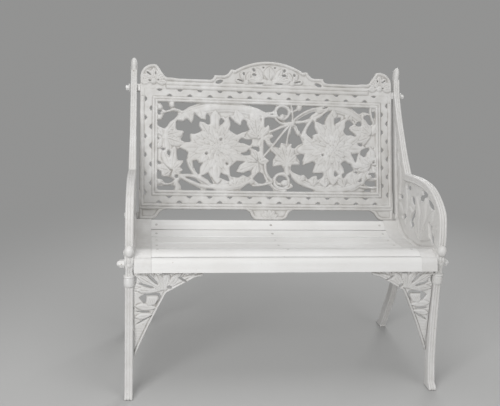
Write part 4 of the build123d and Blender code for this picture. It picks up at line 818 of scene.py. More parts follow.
def raise_leaf(height, u, v, base, tip, width, level, crown, vein_pitch):
    """Leaf lobe laid over a height field: domed, with a sunk midrib and side veins."""
    base, tip = np.array(base, float), np.array(tip, float)
    reach = np.hypot(*(tip - base))
    along = (tip - base) / reach
    part = near(u, v, [base, tip], width / 2)
    du, dv = u[part] - base[0], v[part] - base[1]
    run = du * along[0] + dv * along[1]
    across = np.abs(dv * along[0] - du * along[1])
    share = np.clip(run / reach, 0, 1)
    half = width / 2 * np.sin(pi * share ** LEAF_BELLY) ** LEAF_FULLNESS
    inside = (run > 0) & (run < reach) & (across < half)
    dome = np.sqrt(np.clip(1 - (across / np.maximum(half, 1e-3)) ** 2, 0, 1))
    from_vein = (run - VEIN_SLANT * across) % vein_pitch - vein_pitch / 2
    leaf = level + crown * dome - groove(across, *MIDRIB) - groove(from_vein, *VEIN) * (across > VEIN_CLEAR)
    height[part] = np.where(inside, np.maximum(height[part], leaf), height[part])


def round_edges(height, depth, radius, start):
    """Height that rises from its start at the edges in a quarter round."""
    return start + (blur(height, 1) - start) * rounded(depth, radius)


# Back

BACK_STEP = 1.6
# Soil with painted shade in the hollows, and soil spread evenly
BACK_SOIL_AND_SHADE = 3.6
BACK_GRIME = 0.3
REAR_DROP = 1.6
LUG_BEVEL = 2.0
# Rounding of the front edges, and the height that they start from
FOLIAGE_ROUND, FOLIAGE_EDGE = 6.5, 3.5
FRAME_ROUND, FRAME_EDGE = 2.2, PLATE - 3.0
FOLIAGE_H = 7.0
BERRY_RISE = 7.0
STEM_LEVEL, STEM_CROWN = 6.5, 5.5
# A stem up to this width bridges the gaps, and a wider one is a reeded band
WIDE_STEM = 20.0
# Place of a band's reed, as a share of the band's width
BAND_REED_SHARE = 0.27
# Bands and stems: start, a point on the way, end, width
STEMS = [
    ((-352, 392), (-190, 441), (-20, 418), 36), ((-335, 182), (-292, 184), (-222, 150), 14),
    ((-328, 180), (-280, 156), (-205, 142), 14), ((-222, 146), (-150, 143), (-56, 178), 24),
    ((-306, 242), (-292, 208), (-262, 176), 12), ((-345, 188), (-346, 160), (-345, 124), 22),
    ((-404, 160), (-380, 152), (-348, 172), 8), ((-404, 416), (-384, 420), (-362, 430), 8),
    ((-366, 428), (-348, 428), (-328, 420), 10), ((-372, 398), (-384, 330), (-372, 250), 34),
    ((-20, 424), (4, 414), (26, 414), 14), ((-24, 410), (-26, 340), (-30, 250), 15),
    ((84, 386), (46, 372), (2, 354), 9), ((82, 386), (38, 332), (-22, 260), 9),
    ((85, 384), (74, 350), (66, 306), 9), ((87, 392), (90, 424), (82, 462), 9),
    ((88, 394), (134, 430), (210, 454), 10), ((90, 392), (158, 402), (222, 440), 11),
    ((166, 408), (147, 380), (126, 340), 14), ((88, 388), (102, 376), (108, 358), 8),
    ((84, 432), (98, 436), (112, 446), 8), ((80, 388), (54, 386), (24, 406), 10),
    ((-14, 236), (-10, 196), (10, 168), 12), ((-62, 150), (-30, 153), (10, 164), 9),
    ((4, 164), (22, 141), (64, 134), 8), ((68, 236), (66, 218), (70, 196), 18),
    ((60, 142), (74, 142), (84, 150), 8), ((196, 446), (275, 446), (352, 408), 32),
    ((80, 198), (142, 152), (262, 142), 30), ((240, 142), (318, 150), (376, 200), 34),
    ((396, 460), (398, 428), (408, 398), 10), ((372, 196), (386, 186), (420, 182), 10),
    ((352, 152), (380, 148), (420, 150), 10)]
# Curled tendrils: x, height, outer radius, width
TENDRILS = [(51, 429, 31, 11), (46, 168, 34, 13)]
# Ranks of petals from the back to the front: count, first angle, tip, width, level, crown
PETAL_TIP_R = 136.0
PETAL_RANKS = [(12, 17.0, 118.0, 50.0, 8.6, 2.6), (12, 2.0, PETAL_TIP_R, 54.0, 10.0, 2.6),
               (12, 14.0, 82.0, 36.0, 11.6, 2.2), (12, 0.0, 54.0, 25.0, 13.2, 2.0),
               (8, 10.0, 30.0, 18.0, 14.8, 1.8)]
# Petals: exponents of outline and ribs, then arch, depth of the ribs and step over a lower petal
PETAL_BELLY, PETAL_FULLNESS, PETAL_RIB_EDGE = 1.35, 0.7, 0.6
PETAL_RIB_COUNT = 3
PETAL_ARCH, PETAL_RIB_DEPTH, PETAL_STEP = 1.2, 1.4, 1.5
PETAL_ROOM = 4.0
BUTTON_R, BUTTON_LEVEL, BUTTON_CROWN = 13.0, 15.5, 4.0
# Ring in a flower's button, as a share of its radius
RING_SHARE = 0.55
# Straight inner shoulder of each ear: distance in from the panel's side and rise over its top, at two places
EAR_SLOPE = [(62, 47), (87, 11)]
# Slits in the ears: x and height along the back, length, width, turn; each is mirrored
EAR_SLITS = [(450, 560, 24, 5, 36), (425, 562, 14, 4, 90), (446, 534, 11, 5, 0), (415, 537, 9, 4, -30)]
# Sprays of leaves on crest, ears and foot: x, height, reach, angles, leaf width; each is mirrored
SPRAYS = [(0, PANEL_TOP - 8, 64, [90], 40), (20, PANEL_TOP - 6, 62, [12, 36, 62], 24),
          (88, PANEL_TOP - 6, 42, [10, 60, 110], 18),
          (PANEL_HALF - EAR_R, PANEL_TOP - 12, 48, range(-6, 187, 32), 22),
          (0, PANEL_FOOT + 4, 36, range(0, 181, 30), 16)]
# Shares of a spray's reach where its leaves start and its boss ends, and the boss's rise
SPRAY_START, SPRAY_BOSS, SPRAY_BOSS_RISE = 0.16, 0.24, 5.0
# Beads around the window: distance out, half width, rise
BEADS = [(5.0, 5.0, 4.5), (15.0, 4.6, 2.6)]
# Distance of the border's line from its piercings
BORDER_LINE_OUT = 1.0
RAIL_REED_RISE = 3.0
EDGE_ROLL, EDGE_ROLL_RISE = 11.0, 3.6


def back_row(x, s, height):
    """Row frame from a place on the back and its height over the rear face."""
    behind = PLATE - height
    y = FRONT + BACK_Y + s * sin(LEAN) + behind * cos(LEAN)
    z = SEAT_Z + BACK_RISE + s * cos(LEAN) - behind * sin(LEAN)
    return np.stack([np.broadcast_to(x, np.shape(z)), y, z], axis=1)


def back_outline():
    """Outer edge of the back: its right half from foot to crest, then mirrored."""
    slot_x = PANEL_HALF - SLOT_OUTER
    ear_x, ear_s = PANEL_HALF - EAR_R, PANEL_TOP + EAR_RISE
    step, shoulder, top = PANEL_TOP + CREST_STEP, PANEL_TOP + CREST_SHOULDER, PANEL_TOP + CREST_RISE
    half = ogee((DROP_HALF, PANEL_FOOT), (SLOT_INNER, LOW_EDGE))
    half += ogee((slot_x, LOW_EDGE), (PANEL_HALF - SLOT_FLARE, PANEL_FOOT))
    half += [(PANEL_HALF, PANEL_FOOT)]
    half += three_point_arc((PANEL_HALF, ear_s), (ear_x, ear_s + EAR_R), (ear_x - EAR_R, ear_s), steps=24)
    half += [(PANEL_HALF - EAR_TOE + EAR_R / 2, ear_s), (PANEL_HALF - EAR_TOE, PANEL_TOP)]
    half += tangent_arc((CREST_FOOT, PANEL_TOP), (CREST_STEP_OUT, step), (-1, 0))[0]
    half += tangent_arc((CREST_STEP_IN, step), (CREST_HALF + NUB, shoulder), (-1, 0))[0]
    half += three_point_arc((CREST_HALF + NUB, shoulder), (CREST_HALF + NUB / 2, shoulder + NUB_RISE),
                            (CREST_HALF, shoulder), steps=8)
    half += tangent_arc((0, top), (CREST_HALF, shoulder), (1, 0), steps=30)[0][-2:0:-1]
    half = [tuple(point) for point in half] + [(0, top)]
    return half + [(-x, s) for x, s in half[-2::-1]]


def ear_shoulders(u, v, outline):
    """Outline field with the inner shoulder of each ear cut straight."""
    (high_in, high_rise), (low_in, low_rise) = EAR_SLOPE
    run, drop = low_in - high_in, high_rise - low_rise
    past = (PANEL_HALF - np.abs(u) - high_in) * drop + (v - PANEL_TOP - high_rise) * run
    on_ear = (v > PANEL_TOP + low_rise / 2) & (np.abs(u) > PANEL_HALF - 2 * EAR_R - 2 * BACK_STEP)
    return np.where(on_ear, np.maximum(outline, past / np.hypot(run, drop)), outline)


def border_piercings():
    """Corners of the border's two staggered rows of triangles."""
    middle_s = WINDOW_LOW + WINDOW_HEIGHT / 2
    half, rise = PIERCE_LENGTH / 2, PIERCE_WIDTH / 2
    found = []
    for pitch, reach, level, tall in (
        (PIERCE_PITCH, WINDOW_HALF, WINDOW_HEIGHT / 2, False),
        (PIERCE_PITCH_SIDE, WINDOW_HEIGHT / 2, WINDOW_HALF, True),
    ):
        count = (reach + MOULDING) / pitch
        inner, outer = int(count), int(count + 0.5)
        places = [(pitch * k, -1) for k in range(-inner, inner + 1)]
        places += [(pitch * (k + 0.5), 1) for k in range(-outer, outer)]
        middle = level + MOULDING + BORDER / 2
        for along, row in places:
            flat, point = middle + row * (PIERCE_ROW + rise), middle + row * (PIERCE_ROW - rise)
            for side in (1, -1):
                corners = [(along - half, side * flat), (along + half, side * flat), (along, side * point)]
                found.append([(b if tall else a, middle_s + (a if tall else b)) for a, b in corners])
    return found


def back_stems():
    """Lines and widths of the bands, stems and tendrils."""
    stems = [(three_point_arc(start, way, end, steps=24), width) for start, way, end, width in STEMS]
    for x, s, radius, width in TENDRILS:
        ring = oval(x, s, 2 * radius - width, 2 * radius - width, 0, steps=40)
        stems.append((np.concatenate([ring, ring[:1]]), width))
    return stems


def back_field(u, v, outline, stems):
    """Field of the back: its outline less all gaps, with the stems that bridge them."""
    field = outline.copy()
    for corners in PANEL_GAPS:
        cut(field, u, v, [(np.clip(x, -WINDOW_HALF, WINDOW_HALF), np.clip(s, WINDOW_LOW, WINDOW_TOP))
                          for x, s in corners])
    for corners in border_piercings():
        cut(field, u, v, corners)
    for x, s in PIN_HOLES:
        cut(field, u, v, oval(x, s, 2 * PIN_HOLE_R, 2 * PIN_HOLE_R, 0))
    crest_slits = [(x, PANEL_TOP + rise, *shape) for x, rise, *shape in CREST_GAPS]
    for x, s, length, width, turn in crest_slits + EAR_SLITS:
        for side in SIDES.values():
            cut(field, u, v, oval(side * x, s, length, width, side * turn))
    field = blur(field, FIELD_BLUR)
    for line, width in stems:
        if width <= WIDE_STEM:
            part = near(u, v, line, width)
            stem = rail_field(u[part], v[part], line, [width] * len(line))
            field[part] = np.minimum(field[part], stem)
    return np.maximum(field, outline)


def raise_stem(height, u, v, line, width):
    """Half-round stem along a line of points; a wide one is reeded lengthwise."""
    part = near(u, v, line, width)
    offset = rail_field(u[part], v[part], line, [0.0] * len(line))
    stem = STEM_LEVEL + STEM_CROWN * ridge(offset, width / 2)
    if width > WIDE_STEM:
        stem = stem - groove(offset - width * BAND_REED_SHARE, *BAND_REED)
    height[part] = np.where(offset < width / 2, np.maximum(height[part], stem), height[part])


def raise_flower(height, u, v, x, s):
    """Flower: overlapping ranks of ribbed petals around a small button."""
    part = near(u, v, [(x, s)], PETAL_TIP_R + PETAL_ROOM)
    reach, turn = np.hypot(u[part] - x, v[part] - s), np.arctan2(v[part] - s, u[part] - x)
    patch = height[part]
    for count, start, tip, width, level, crown in PETAL_RANKS:
        for petal in range(count):
            off = (turn - radians(start + petal * 360 / count) + pi) % (2 * pi) - pi
            run, across = reach * np.cos(off), reach * np.sin(off)
            share = np.clip(run / tip, 0, 1)
            half = np.maximum(width / 2 * np.sin(pi * share ** PETAL_BELLY) ** PETAL_FULLNESS, 1e-3)
            lie = across / half
            dome = np.sqrt(np.clip(1 - lie ** 2, 0, 1))
            ribs = 1 - np.abs(np.sin(PETAL_RIB_COUNT / 2 * pi * lie)) ** PETAL_RIB_EDGE
            face = level + crown * dome + (PETAL_ARCH - PETAL_RIB_DEPTH * ribs) * np.sin(pi * share)
            on_petal = (run > 0) & (np.abs(lie) < 1)
            patch = np.where(on_petal, np.maximum(face, patch - PETAL_STEP), patch)
    button = BUTTON_LEVEL + BUTTON_CROWN * ridge(reach, BUTTON_R + 1)
    button = button - groove(reach - BUTTON_R * RING_SHARE, *BUTTON_RING)
    height[part] = np.where(reach < BUTTON_R, button, patch)


def raise_spray(height, u, v, foot, reach, angles, width):
    """Spray of leaves from one place, with a boss at its foot."""
    foot = np.array(foot, float)
    for angle in angles:
        along = np.array([cos(radians(angle)), sin(radians(angle))])
        base, tip = foot + along * reach * SPRAY_START, foot + along * reach
        raise_leaf(height, u, v, base, tip, width, *SPRAY_LEAF)
    part = near(u, v, [foot], reach * SPRAY_BOSS)
    boss = ridge(np.hypot(u[part] - foot[0], v[part] - foot[1]), reach * SPRAY_BOSS)
    height[part] = np.maximum(height[part], PLATE + SPRAY_BOSS_RISE * boss)


def edge_mouldings(height, u, v, past_window, outline):
    """Beads around the window, lines along the border, reeds on the rails, a roll along the outer edge."""
    bead = PLATE + sum(rise * ridge(past_window - out, half) for out, half, rise in BEADS)
    height = np.where((past_window >= 0) & (past_window < MOULDING), bead, height)
    from_middle = np.abs(past_window - MOULDING - BORDER / 2)
    from_line = from_middle - PIERCE_ROW - PIERCE_WIDTH / 2 - BORDER_LINE_OUT
    height = height - groove(from_line, *BORDER_LINE)
    rim = past_window - MOULDING - BORDER
    pitch = np.where(v < WINDOW_LOW, LOW_RAIL / 2, TOP_RAIL / 3)
    reeds = PLATE + RAIL_REED_RISE * ridge(rim % pitch - pitch / 2, pitch / 2)
    clear_of_ears = (v < WINDOW_TOP + MOULDING) | (np.abs(u) < PANEL_HALF - 2 * EAR_R)
    height = np.where((rim >= 0) & (rim < 2 * pitch) & clear_of_ears, reeds, height)
    edge = np.maximum(-outline, 0)
    roll = PLATE + EDGE_ROLL_RISE * ridge(edge - EDGE_ROLL / 2, EDGE_ROLL / 2)
    rolled = ((v > PANEL_TOP - TOP_RAIL / 3) | (v < LOW_EDGE)) & (edge < EDGE_ROLL)
    return np.where(rolled, np.maximum(roll, height), height)


def back_height(u, v, past_window, outline, stems):
    """Height of the back's face before its edges are rounded."""
    in_window = past_window < 0
    height = np.where(in_window, FOLIAGE_H, PLATE)
    for line, width in stems:
        raise_stem(height, u, v, line, width)
    for base, tip, width in LOBES:
        raise_leaf(height, u, v, base, tip, width, *PANEL_LEAF)
    for x, s in FLOWERS:
        raise_flower(height, u, v, x, s)
    for x, s, radius in BERRIES:
        part = near(u, v, [(x, s)], radius)
        reach = np.hypot(u[part] - x, v[part] - s)
        height[part] = np.where(reach < radius, PLATE + BERRY_RISE * ridge(reach, radius), height[part])
    height = np.where(in_window, height, PLATE)
    for side in SIDES.values():
        for x, s, reach, turns, width in SPRAYS:
            angles = [90 - side * (90 - turn) for turn in turns]
            raise_spray(height, u, v, (side * x, s), reach, angles, width)
    return edge_mouldings(height, u, v, past_window, outline)


def build_back():
    """Back casting: pierced flower panel in a moulded border, with crest, ears, foot and bolt lugs."""
    u, v = grid(-PANEL_HALF, PANEL_HALF, PANEL_FOOT, PANEL_TOP + CREST_RISE, BACK_STEP)
    outline = ear_shoulders(u, v, polygon_field(u, v, back_outline()))
    stems = back_stems()
    field = back_field(u, v, outline, stems)
    depth = edge_depth(field)
    window_s = WINDOW_LOW + WINDOW_HEIGHT / 2
    past_window = np.maximum(np.abs(u) - WINDOW_HALF, np.abs(v - window_s) - WINDOW_HEIGHT / 2)
    radius = np.where(past_window < 0, FOLIAGE_ROUND, FRAME_ROUND)
    start = np.where(past_window < 0, FOLIAGE_EDGE, FRAME_EDGE)
    height = round_edges(back_height(u, v, past_window, outline, stems), depth, radius, start)
    rear = REAR_DROP * (1 - rounded(depth, REAR_ROUND))
    vertices, faces, recess = relief(u, v, field, height, rear, back_row, PLATE_ROWS, straight, False,
                                     BACK_SOIL_AND_SHADE, BACK_GRIME)
    pieces = [make_object("back_casting", vertices, faces, iron, recess)]
    for s in BACK_BOLTS:
        for side in SIDES.values():
            ends = sorted([side * FRAME_INNER_X, side * (FRAME_INNER_X - LUG_REACH)])
            low = (ends[0], s - LUG / 2, PLATE - POST_BEHIND - LUG / 2)
            high = (ends[1], s + LUG / 2, PLATE - POST_BEHIND + LUG / 2)
            pieces.append(rounded_block("lug", low, high, LUG_BEVEL, back_row, iron))
    return join_pieces(pieces)


# End castings

FRAME_STEP = 2.0
# Soil with painted shade in the hollows
END_SOIL_AND_SHADE = 0.5
# Each gap of the web widens towards its two faces
GAP_DRAFT = 8.0
WEB_FACE = 3.2
WEB_ROUND, WEB_EDGE = 4.0, 2.2
# Points at the top of the front leg that keep its full depth
LEG_STRAIGHT = 3
# Half widths of the end casting across the seat: legs and arms, stile, necks between the knops, full width
LEG_HALF, STILE_HALF, NECK_HALF, FULL_HALF = 13.0, 11.5, 11.5, RAIL_WIDTH / 2
# Drop from the full width, and the distances over which it happens, from the seat rail and from a bolt's boss
FULL_DROP, SEAT_FADE, BOSS_FADE = 4.0, 6.0, 4.0
BOSS_R = 12.0
EDGE_ROUND = 4.5
# Distance of the rails' line from their edge
RAIL_LINE_IN = 9.5
# Lines between the reeds of a wall: places and width as shares of its width, and depth
REED_LINES, REED_WIDTH, REED_DEPTH = (0.24, 0.76), 0.11, 2.3
# The field ends this far under the ground, so that the feet meet it
GROUND_SLACK = 0.01
# Heights over which the stile narrows, along the back, and of the necks, over the seat
NARROW_FROM, NARROW_TO = 210.0, 330.0
NECKS = (-14.0, 46.0)


def ball_profile(half_width, half_height, rings):
    """Half width and height of the rings of a ball or oval."""
    pole = 0.06
    return [(half_width * sin(t), -half_height * cos(t)) for t in np.linspace(pole, pi - pole, rings)]


# Turned forms on the front of each end: half width and height from the middle
OVAL_KNOP = ball_profile(15.5, 19.0, 19)
OVAL_DROP = 11.0
DRUM_KNOP = [(12, -19), (15.5, -18.5), (17, -16), (17.2, -7), (16.8, 4), (16.2, 8), (15.4, 9.5), (17.5, 11),
             (18.3, 13.5), (17.5, 16), (15.4, 17.5), (12, 19)]
ROD_BOSS = ball_profile(16.0, 15.0, 15)
ROD_BOSS_Y, ROD_BOSS_RISE = 30.0, 19.0
KNOP_SEGMENTS = 40
# Bud on each stile: half width, half depth, shift to the front, height
BUD_RINGS = [(11, 15, 0, -16), (11.4, 18, 0, -10), (12, 20, 0, -4), (12.4, 20.6, 0, 4), (12.4, 20.6, 0.5, 14),
             (12, 20, 1, 24), (11, 18.4, 2, 31), (9, 15.2, 3, 37), (6, 10.6, 4, 41.5), (2.5, 4.6, 5, 44)]
BUD_SEGMENTS, BUD_LOBES, BUD_LOBE_DEPTH = 48, 2, 0.10


def back_point(s, behind):
    """Side view point at a height along the back and a distance behind its face."""
    y = BACK_Y + s * sin(LEAN) + behind * cos(LEAN)
    return (y, SEAT_Z + BACK_RISE + s * cos(LEAN) - behind * sin(LEAN))


def over_seat(points):
    """Points of the side view from heights over the seat."""
    return [(y, SEAT_Z + rise) for y, rise in points]


def reeded(share, thickness):
    """Wall of a leg or arm: three reeds where the casting is thick."""
    lines = sum(groove(share - line, REED_WIDTH, REED_DEPTH) for line in REED_LINES)
    return np.where(thickness > WEB_WIDTH, lines, 0.0)


def seat_rail_line():
    """Middle line of the seat rail, under the top of the slats."""
    seat = smooth_line(over_seat(SEAT_CURVE))[0]
    slope = np.gradient(seat, axis=0)
    slope /= np.hypot(*slope.T)[:, None]
    return seat - np.stack([-slope[:, 1], slope[:, 0]], axis=1) * (SEAT_RAIL_LOW - SEAT_RAIL_TOP) / 2


def end_field(u, v):
    """Fields of an end casting's rails, of its pierced web and of its seat rail."""
    front_leg, shares = smooth_line([(y, SEAT_Z * share) for y, share in FRONT_LEG])
    depths = [LEG_DEPTH] * LEG_STRAIGHT + [ANKLE_DEPTH] * (len(FRONT_LEG) - LEG_STRAIGHT)
    rails = rail_field(u, v, front_leg, spread(depths, shares))
    post = [back_point(PANEL_FOOT, POST_BEHIND), back_point(POST_TOP, POST_BEHIND)]
    rear = [back_point(POST_LAP, POST_BEHIND), post[0]] + [(y, SEAT_Z * share) for y, share in REAR_LEG]
    rear_leg, shares = smooth_line(rear)
    depths = [POST_DEPTH / 2, POST_DEPTH - POST_TUCK] + [REAR_LEG_DEPTH] * len(REAR_LEG)
    rails = np.minimum(rails, rail_field(u, v, rear_leg, spread(depths, shares)))
    arm, stile = (smooth_line(over_seat(line))[0] for line in (ARM, STILE_RIM))
    for line in (arm, stile):
        rails = np.minimum(rails, rail_field(u, v, line, [RIM_DEPTH] * len(line)))
    low, high = np.array(post[0]), np.array(post[1])
    along = (high - low) / np.hypot(*(high - low))
    out = np.array([-along[1], along[0]]) * POST_DEPTH / 2
    rails = np.minimum(rails, polygon_field(u, v, [low + out, high + out, high - out, low - out]))
    middle = seat_rail_line()
    seat = rail_field(u, v, middle, [SEAT_RAIL_LOW + SEAT_RAIL_TOP] * len(middle))
    rails = np.minimum(rails, seat)
    for y in (TOE_Y, HEEL_Y):
        rails = np.minimum(rails, (np.hypot((u - y) / TOE_REACH, v / TOE_HEIGHT) - 1) * TOE_HEIGHT)
    web = polygon_field(u, v, list(arm) + list(stile) + post[::-1] + list(middle[::-1]))
    for y, rise, length, width, turn in WEB_GAPS:
        cut(web, u, v, oval(y, SEAT_Z + rise, length + GAP_DRAFT, width + GAP_DRAFT, turn))
    return rails, web, seat


def end_half_width(u, v, seat):
    """Half width of the rails: slim stile and necks, full width at the seat rail and at the bolts."""
    s = (u - BACK_Y) * sin(LEAN) + (v - SEAT_Z - BACK_RISE) * cos(LEAN)
    half = LEG_HALF - (LEG_HALF - STILE_HALF) * np.clip((s - NARROW_FROM) / (NARROW_TO - NARROW_FROM), 0, 1)
    rise = v - SEAT_Z
    half = np.where((rise > NECKS[0]) & (rise < NECKS[1]) & (u < 2 * LEG_DEPTH), NECK_HALF, half)
    half = np.maximum(half, FULL_HALF - FULL_DROP * np.clip(seat / SEAT_FADE, 0, 1))
    for bolt in BACK_BOLTS:
        y, z = back_point(bolt, POST_BEHIND)
        from_boss = np.hypot(u - y, v - z) - BOSS_R
        half = np.maximum(half, FULL_HALF - FULL_DROP * np.clip(from_boss / BOSS_FADE, 0, 1))
    return blur(half, FIELD_BLUR)


def build_end(name, side):
    """End casting: moulded legs, arm and stile around a web of leaves, with knops and a bud."""
    high_y, high_z = back_point(POST_TOP, POST_BEHIND + POST_DEPTH / 2)
    u, v = grid(TOE_Y - TOE_REACH, high_y, 0, high_z + POST_DEPTH, FRAME_STEP)
    rails, web, seat = end_field(u, v)
    field = np.maximum(blur(np.minimum(rails, web), FIELD_BLUR), -(v + GROUND_SLACK))
    height = np.full(u.shape, WEB_FACE)
    for base, tip, width in WEB_LEAVES:
        raise_leaf(height, u, v, *over_seat([base, tip]), width, *WEB_LEAF)
    height = round_edges(height, edge_depth(field), WEB_ROUND, WEB_EDGE)
    inside = np.where(at_edge(field), 0, np.maximum(-rails, 0))
    rail_height = end_half_width(u, v, seat) - EDGE_ROUND * (1 - rounded(inside, EDGE_ROUND))
    rail_height = rail_height - groove(inside - RAIL_LINE_IN, *RAIL_LINE)
    height = np.where(rails < FRAME_STEP * at_edge(field), rail_height, height)

    def to_row(y, z, w):
        return np.stack([side * (FRAME_MID_X + w), y + FRONT, z], axis=1)

    vertices, faces, recess = relief(u, v, field, height, -height, to_row, END_ROWS, reeded, side < 0,
                                     END_SOIL_AND_SHADE, 0.0)
    pieces = [make_object(f"{name}_end_casting", vertices, faces, iron, recess)]
    (drum_y, drum_rise), (oval_y, oval_rise) = KNOPS
    for form, profile, y, rise in (
        ("drum", DRUM_KNOP, drum_y, drum_rise),
        ("oval", OVAL_KNOP, oval_y, oval_rise - OVAL_DROP),
        ("boss", ROD_BOSS, ROD_BOSS_Y, ROD_BOSS_RISE),
    ):
        rings = [(radius, radius, 0, z) for radius, z in profile]
        middle = (side * FRAME_MID_X, FRONT + y, SEAT_Z + rise)
        pieces.append(turned(form, rings, middle, iron, KNOP_SEGMENTS))
    bud_y, bud_z = back_point(POST_TOP, POST_BEHIND)
    middle = (side * FRAME_MID_X, FRONT + bud_y, bud_z)
    pieces.append(turned("bud", BUD_RINGS, middle, iron, BUD_SEGMENTS, BUD_LOBES, BUD_LOBE_DEPTH))
    return join_pieces(pieces)


# Leaf brackets

BRACKET_STEP = 1.4
# Soil with painted shade in the hollows
BRACKET_SOIL_AND_SHADE = 3.5
BRACKET_ROUND, BRACKET_EDGE = 4.0, 2.5
BRACKET_REAR_DROP = 1.5
BRACKET_FACE = BRACKET_THICKNESS - 3.5
# Tabs and flange: bevel, and reach into the plate
BLOCK_BEVEL, BLOCK_LAP = 1.2, 2.0
# Openings under the seat rail between the leaf tips: distance in, rise, length, width, turn
TOP_NOTCHES = [(47, -2, 12, 18, 0), (98, 0, 40, 9, 0), (162, -2, 13, 12, 0), (20, 0, 30, 5, 0)]
# Leaves: base, tip, width
BRACKET_LEAVES = [((94, -66), (186, -16), 24), ((94, -66), (146, -6), 24), ((93, -66), (104, -4), 24),
                  ((91, -66), (66, -4), 26), ((89, -66), (10, -16), 30), ((84, -66), (4, -64), 24),
                  ((72, -124), (4, -118), 26), ((60, -146), (4, -156), 22)]
# Fine ribs of the leaves, in degrees about the knee: pitch, distance to their full depth, lowest place
FAN_PITCH, FAN_REACH, FAN_ABOVE = 5.0, 40.0, -74.0
# Level ribs of the lower plate: pitch, highest place
RIB_PITCH, RIBS_BELOW = 5.5, -146.0
# Bud: crown and its rounding, then pitch and slant of its ribs
BUD_CROWN, BUD_ROUND = 4.0, 9.0
BUD_PITCH, BUD_SLANT = 6.5, 0.35
# Rolled rim: width, rise, and distance of the line beside it
RIM_ROLL, RIM_RISE, RIM_LINE_IN = 7.5, 2.6, 1.2


def bracket_field(u, v, free_edge, bud):
    """Field of a bracket: its outline less the gaps, the eye around the bud and the room for the knop."""
    top = tangent_arc((BRACKET_TOP, 0), BRACKET_TIP, (1, 0))[0]
    edge = [(0, 0)] + top + free_edge[1:] + [(0, BRACKET_TAIL[1])]
    field = polygon_field(u, v, [tuple(point) for point in edge])
    for inset, rise, length, width, turn in BRACKET_GAPS + TOP_NOTCHES:
        cut(field, u, v, oval(inset, rise, length, width, -turn))
    field = np.maximum(field, -np.maximum(polygon_field(u, v, BRACKET_EYE), -bud))
    room = 2 * (KNOP_R + KNOP_CLEAR)
    cut(field, u, v, oval(-RAIL_WIDTH / 2, KNOPS[0][1], room, room, 0))
    return blur(field, 1)


def bracket_height(u, v, free_edge, bud):
    """Height of a bracket's face before its edges are rounded."""
    height = np.full(u.shape, BRACKET_FACE)
    for base, tip, width in BRACKET_LEAVES:
        raise_leaf(height, u, v, base, tip, width, *BRACKET_LEAF)
    knee_u, knee_v = u - BRACKET_KNEE[0], v - BRACKET_KNEE[1]
    fan = np.degrees(np.arctan2(knee_v, knee_u)) % FAN_PITCH - FAN_PITCH / 2
    far = np.clip(np.hypot(knee_u, knee_v) / FAN_REACH, 0, 1)
    height = height - far * groove(fan, *FAN_LINE) * (v > FAN_ABOVE)
    height = height - groove(v % RIB_PITCH - RIB_PITCH / 2, *RIB_LINE) * (v < RIBS_BELOW)
    ribs = groove((u + BUD_SLANT * v) % BUD_PITCH - BUD_PITCH / 2, *BUD_LINE)
    height = np.where(bud < 0, BRACKET_THICKNESS + BUD_CROWN * rounded(-bud, BUD_ROUND) - ribs, height)
    from_edge = rail_field(u, v, free_edge, [0.0] * len(free_edge))
    rim = BRACKET_THICKNESS + RIM_RISE * ridge(from_edge - RIM_ROLL / 2, RIM_ROLL / 2)
    height = np.where(from_edge < RIM_ROLL, rim, height)
    return height - groove(from_edge - RIM_ROLL - RIM_LINE_IN, *RIM_LINE)


def build_bracket(name, side):
    """Pierced leaf bracket: rolled rim, leaves from the knee, a ribbed bud, and its tabs and flange."""
    u, v = grid(0, BRACKET_TIP[0], BRACKET_TAIL[1], 0, BRACKET_STEP)
    curve = three_point_arc(BRACKET_KNEE, BRACKET_WAIST, BRACKET_TAIL, steps=24)
    free_edge = [BRACKET_TIP, BRACKET_LIP] + curve
    bud = polygon_field(u, v, BRACKET_BUD)
    field = bracket_field(u, v, free_edge, bud)
    depth = edge_depth(field)
    height = round_edges(bracket_height(u, v, free_edge, bud), depth, BRACKET_ROUND, BRACKET_EDGE)
    rear = BRACKET_REAR_DROP * (1 - rounded(depth, REAR_ROUND))

    def to_row(inset, rise, h):
        y = FRONT + BRACKET_Y + BRACKET_THICKNESS - h
        return np.stack([side * (FRAME_INNER_X - inset), y, SEAT_Z + rise], axis=1)

    vertices, faces, recess = relief(u, v, field, height, rear, to_row, PLATE_ROWS, straight, side > 0,
                                     BRACKET_SOIL_AND_SHADE, 0.0)
    pieces = [make_object(f"{name}_leaf_casting", vertices, faces, iron, recess)]
    for inset in BRACKET_TABS:
        low = (inset - TAB_WIDTH / 2, -TAB_THICKNESS, BRACKET_THICKNESS - BLOCK_LAP)
        high = (inset + TAB_WIDTH / 2, 0, BRACKET_THICKNESS + TAB_DEPTH)
        pieces.append(rounded_block("tab", low, high, BLOCK_BEVEL, to_row, iron))
    low, high = (0, FLANGE_LOW, -FLANGE_DEPTH), (FLANGE_THICKNESS, FLANGE_TOP, BLOCK_LAP)
    pieces.append(rounded_block("flange", low, high, BLOCK_BEVEL, to_row, iron))
    return join_pieces(pieces)


back = build_back()
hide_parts("back_panel")
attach(back, "root")
for name, side in SIDES.items():
    for piece, node in (
        (build_end(name, side), f"{name}_end_frame"),
        (build_bracket(name, side), f"{name}_leaf_bracket"),
    ):
        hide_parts(node)
        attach(piece, "root")

# CAD nodes that stay
FASTENERS = ("bolt", "washer", "nut", "screws")
for node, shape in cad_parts.items():
    finish = iron
    if "slat_screws" in node:
        finish = screw
    elif any(word in node for word in FASTENERS):
        finish = fastener
    elif node.startswith("seat_slat") or node == "front_seat_rail":
        finish = wood
    shape.data.materials.clear()
    shape.data.materials.append(finish)


# Floor, light and camera

FLOOR_HALF = 20.0
FLOOR_TONE, FLOOR_ROUGHNESS = (0.46, 0.46, 0.455, 1), 0.85
BACKDROP = (0.29, 0.29, 0.287, 1)
WORLD_LIGHT = 0.28
# Distances from the seat, in metres, between which the floor turns into the backdrop for the camera
FADE_FROM, FADE_TO = 0.8, 2.6
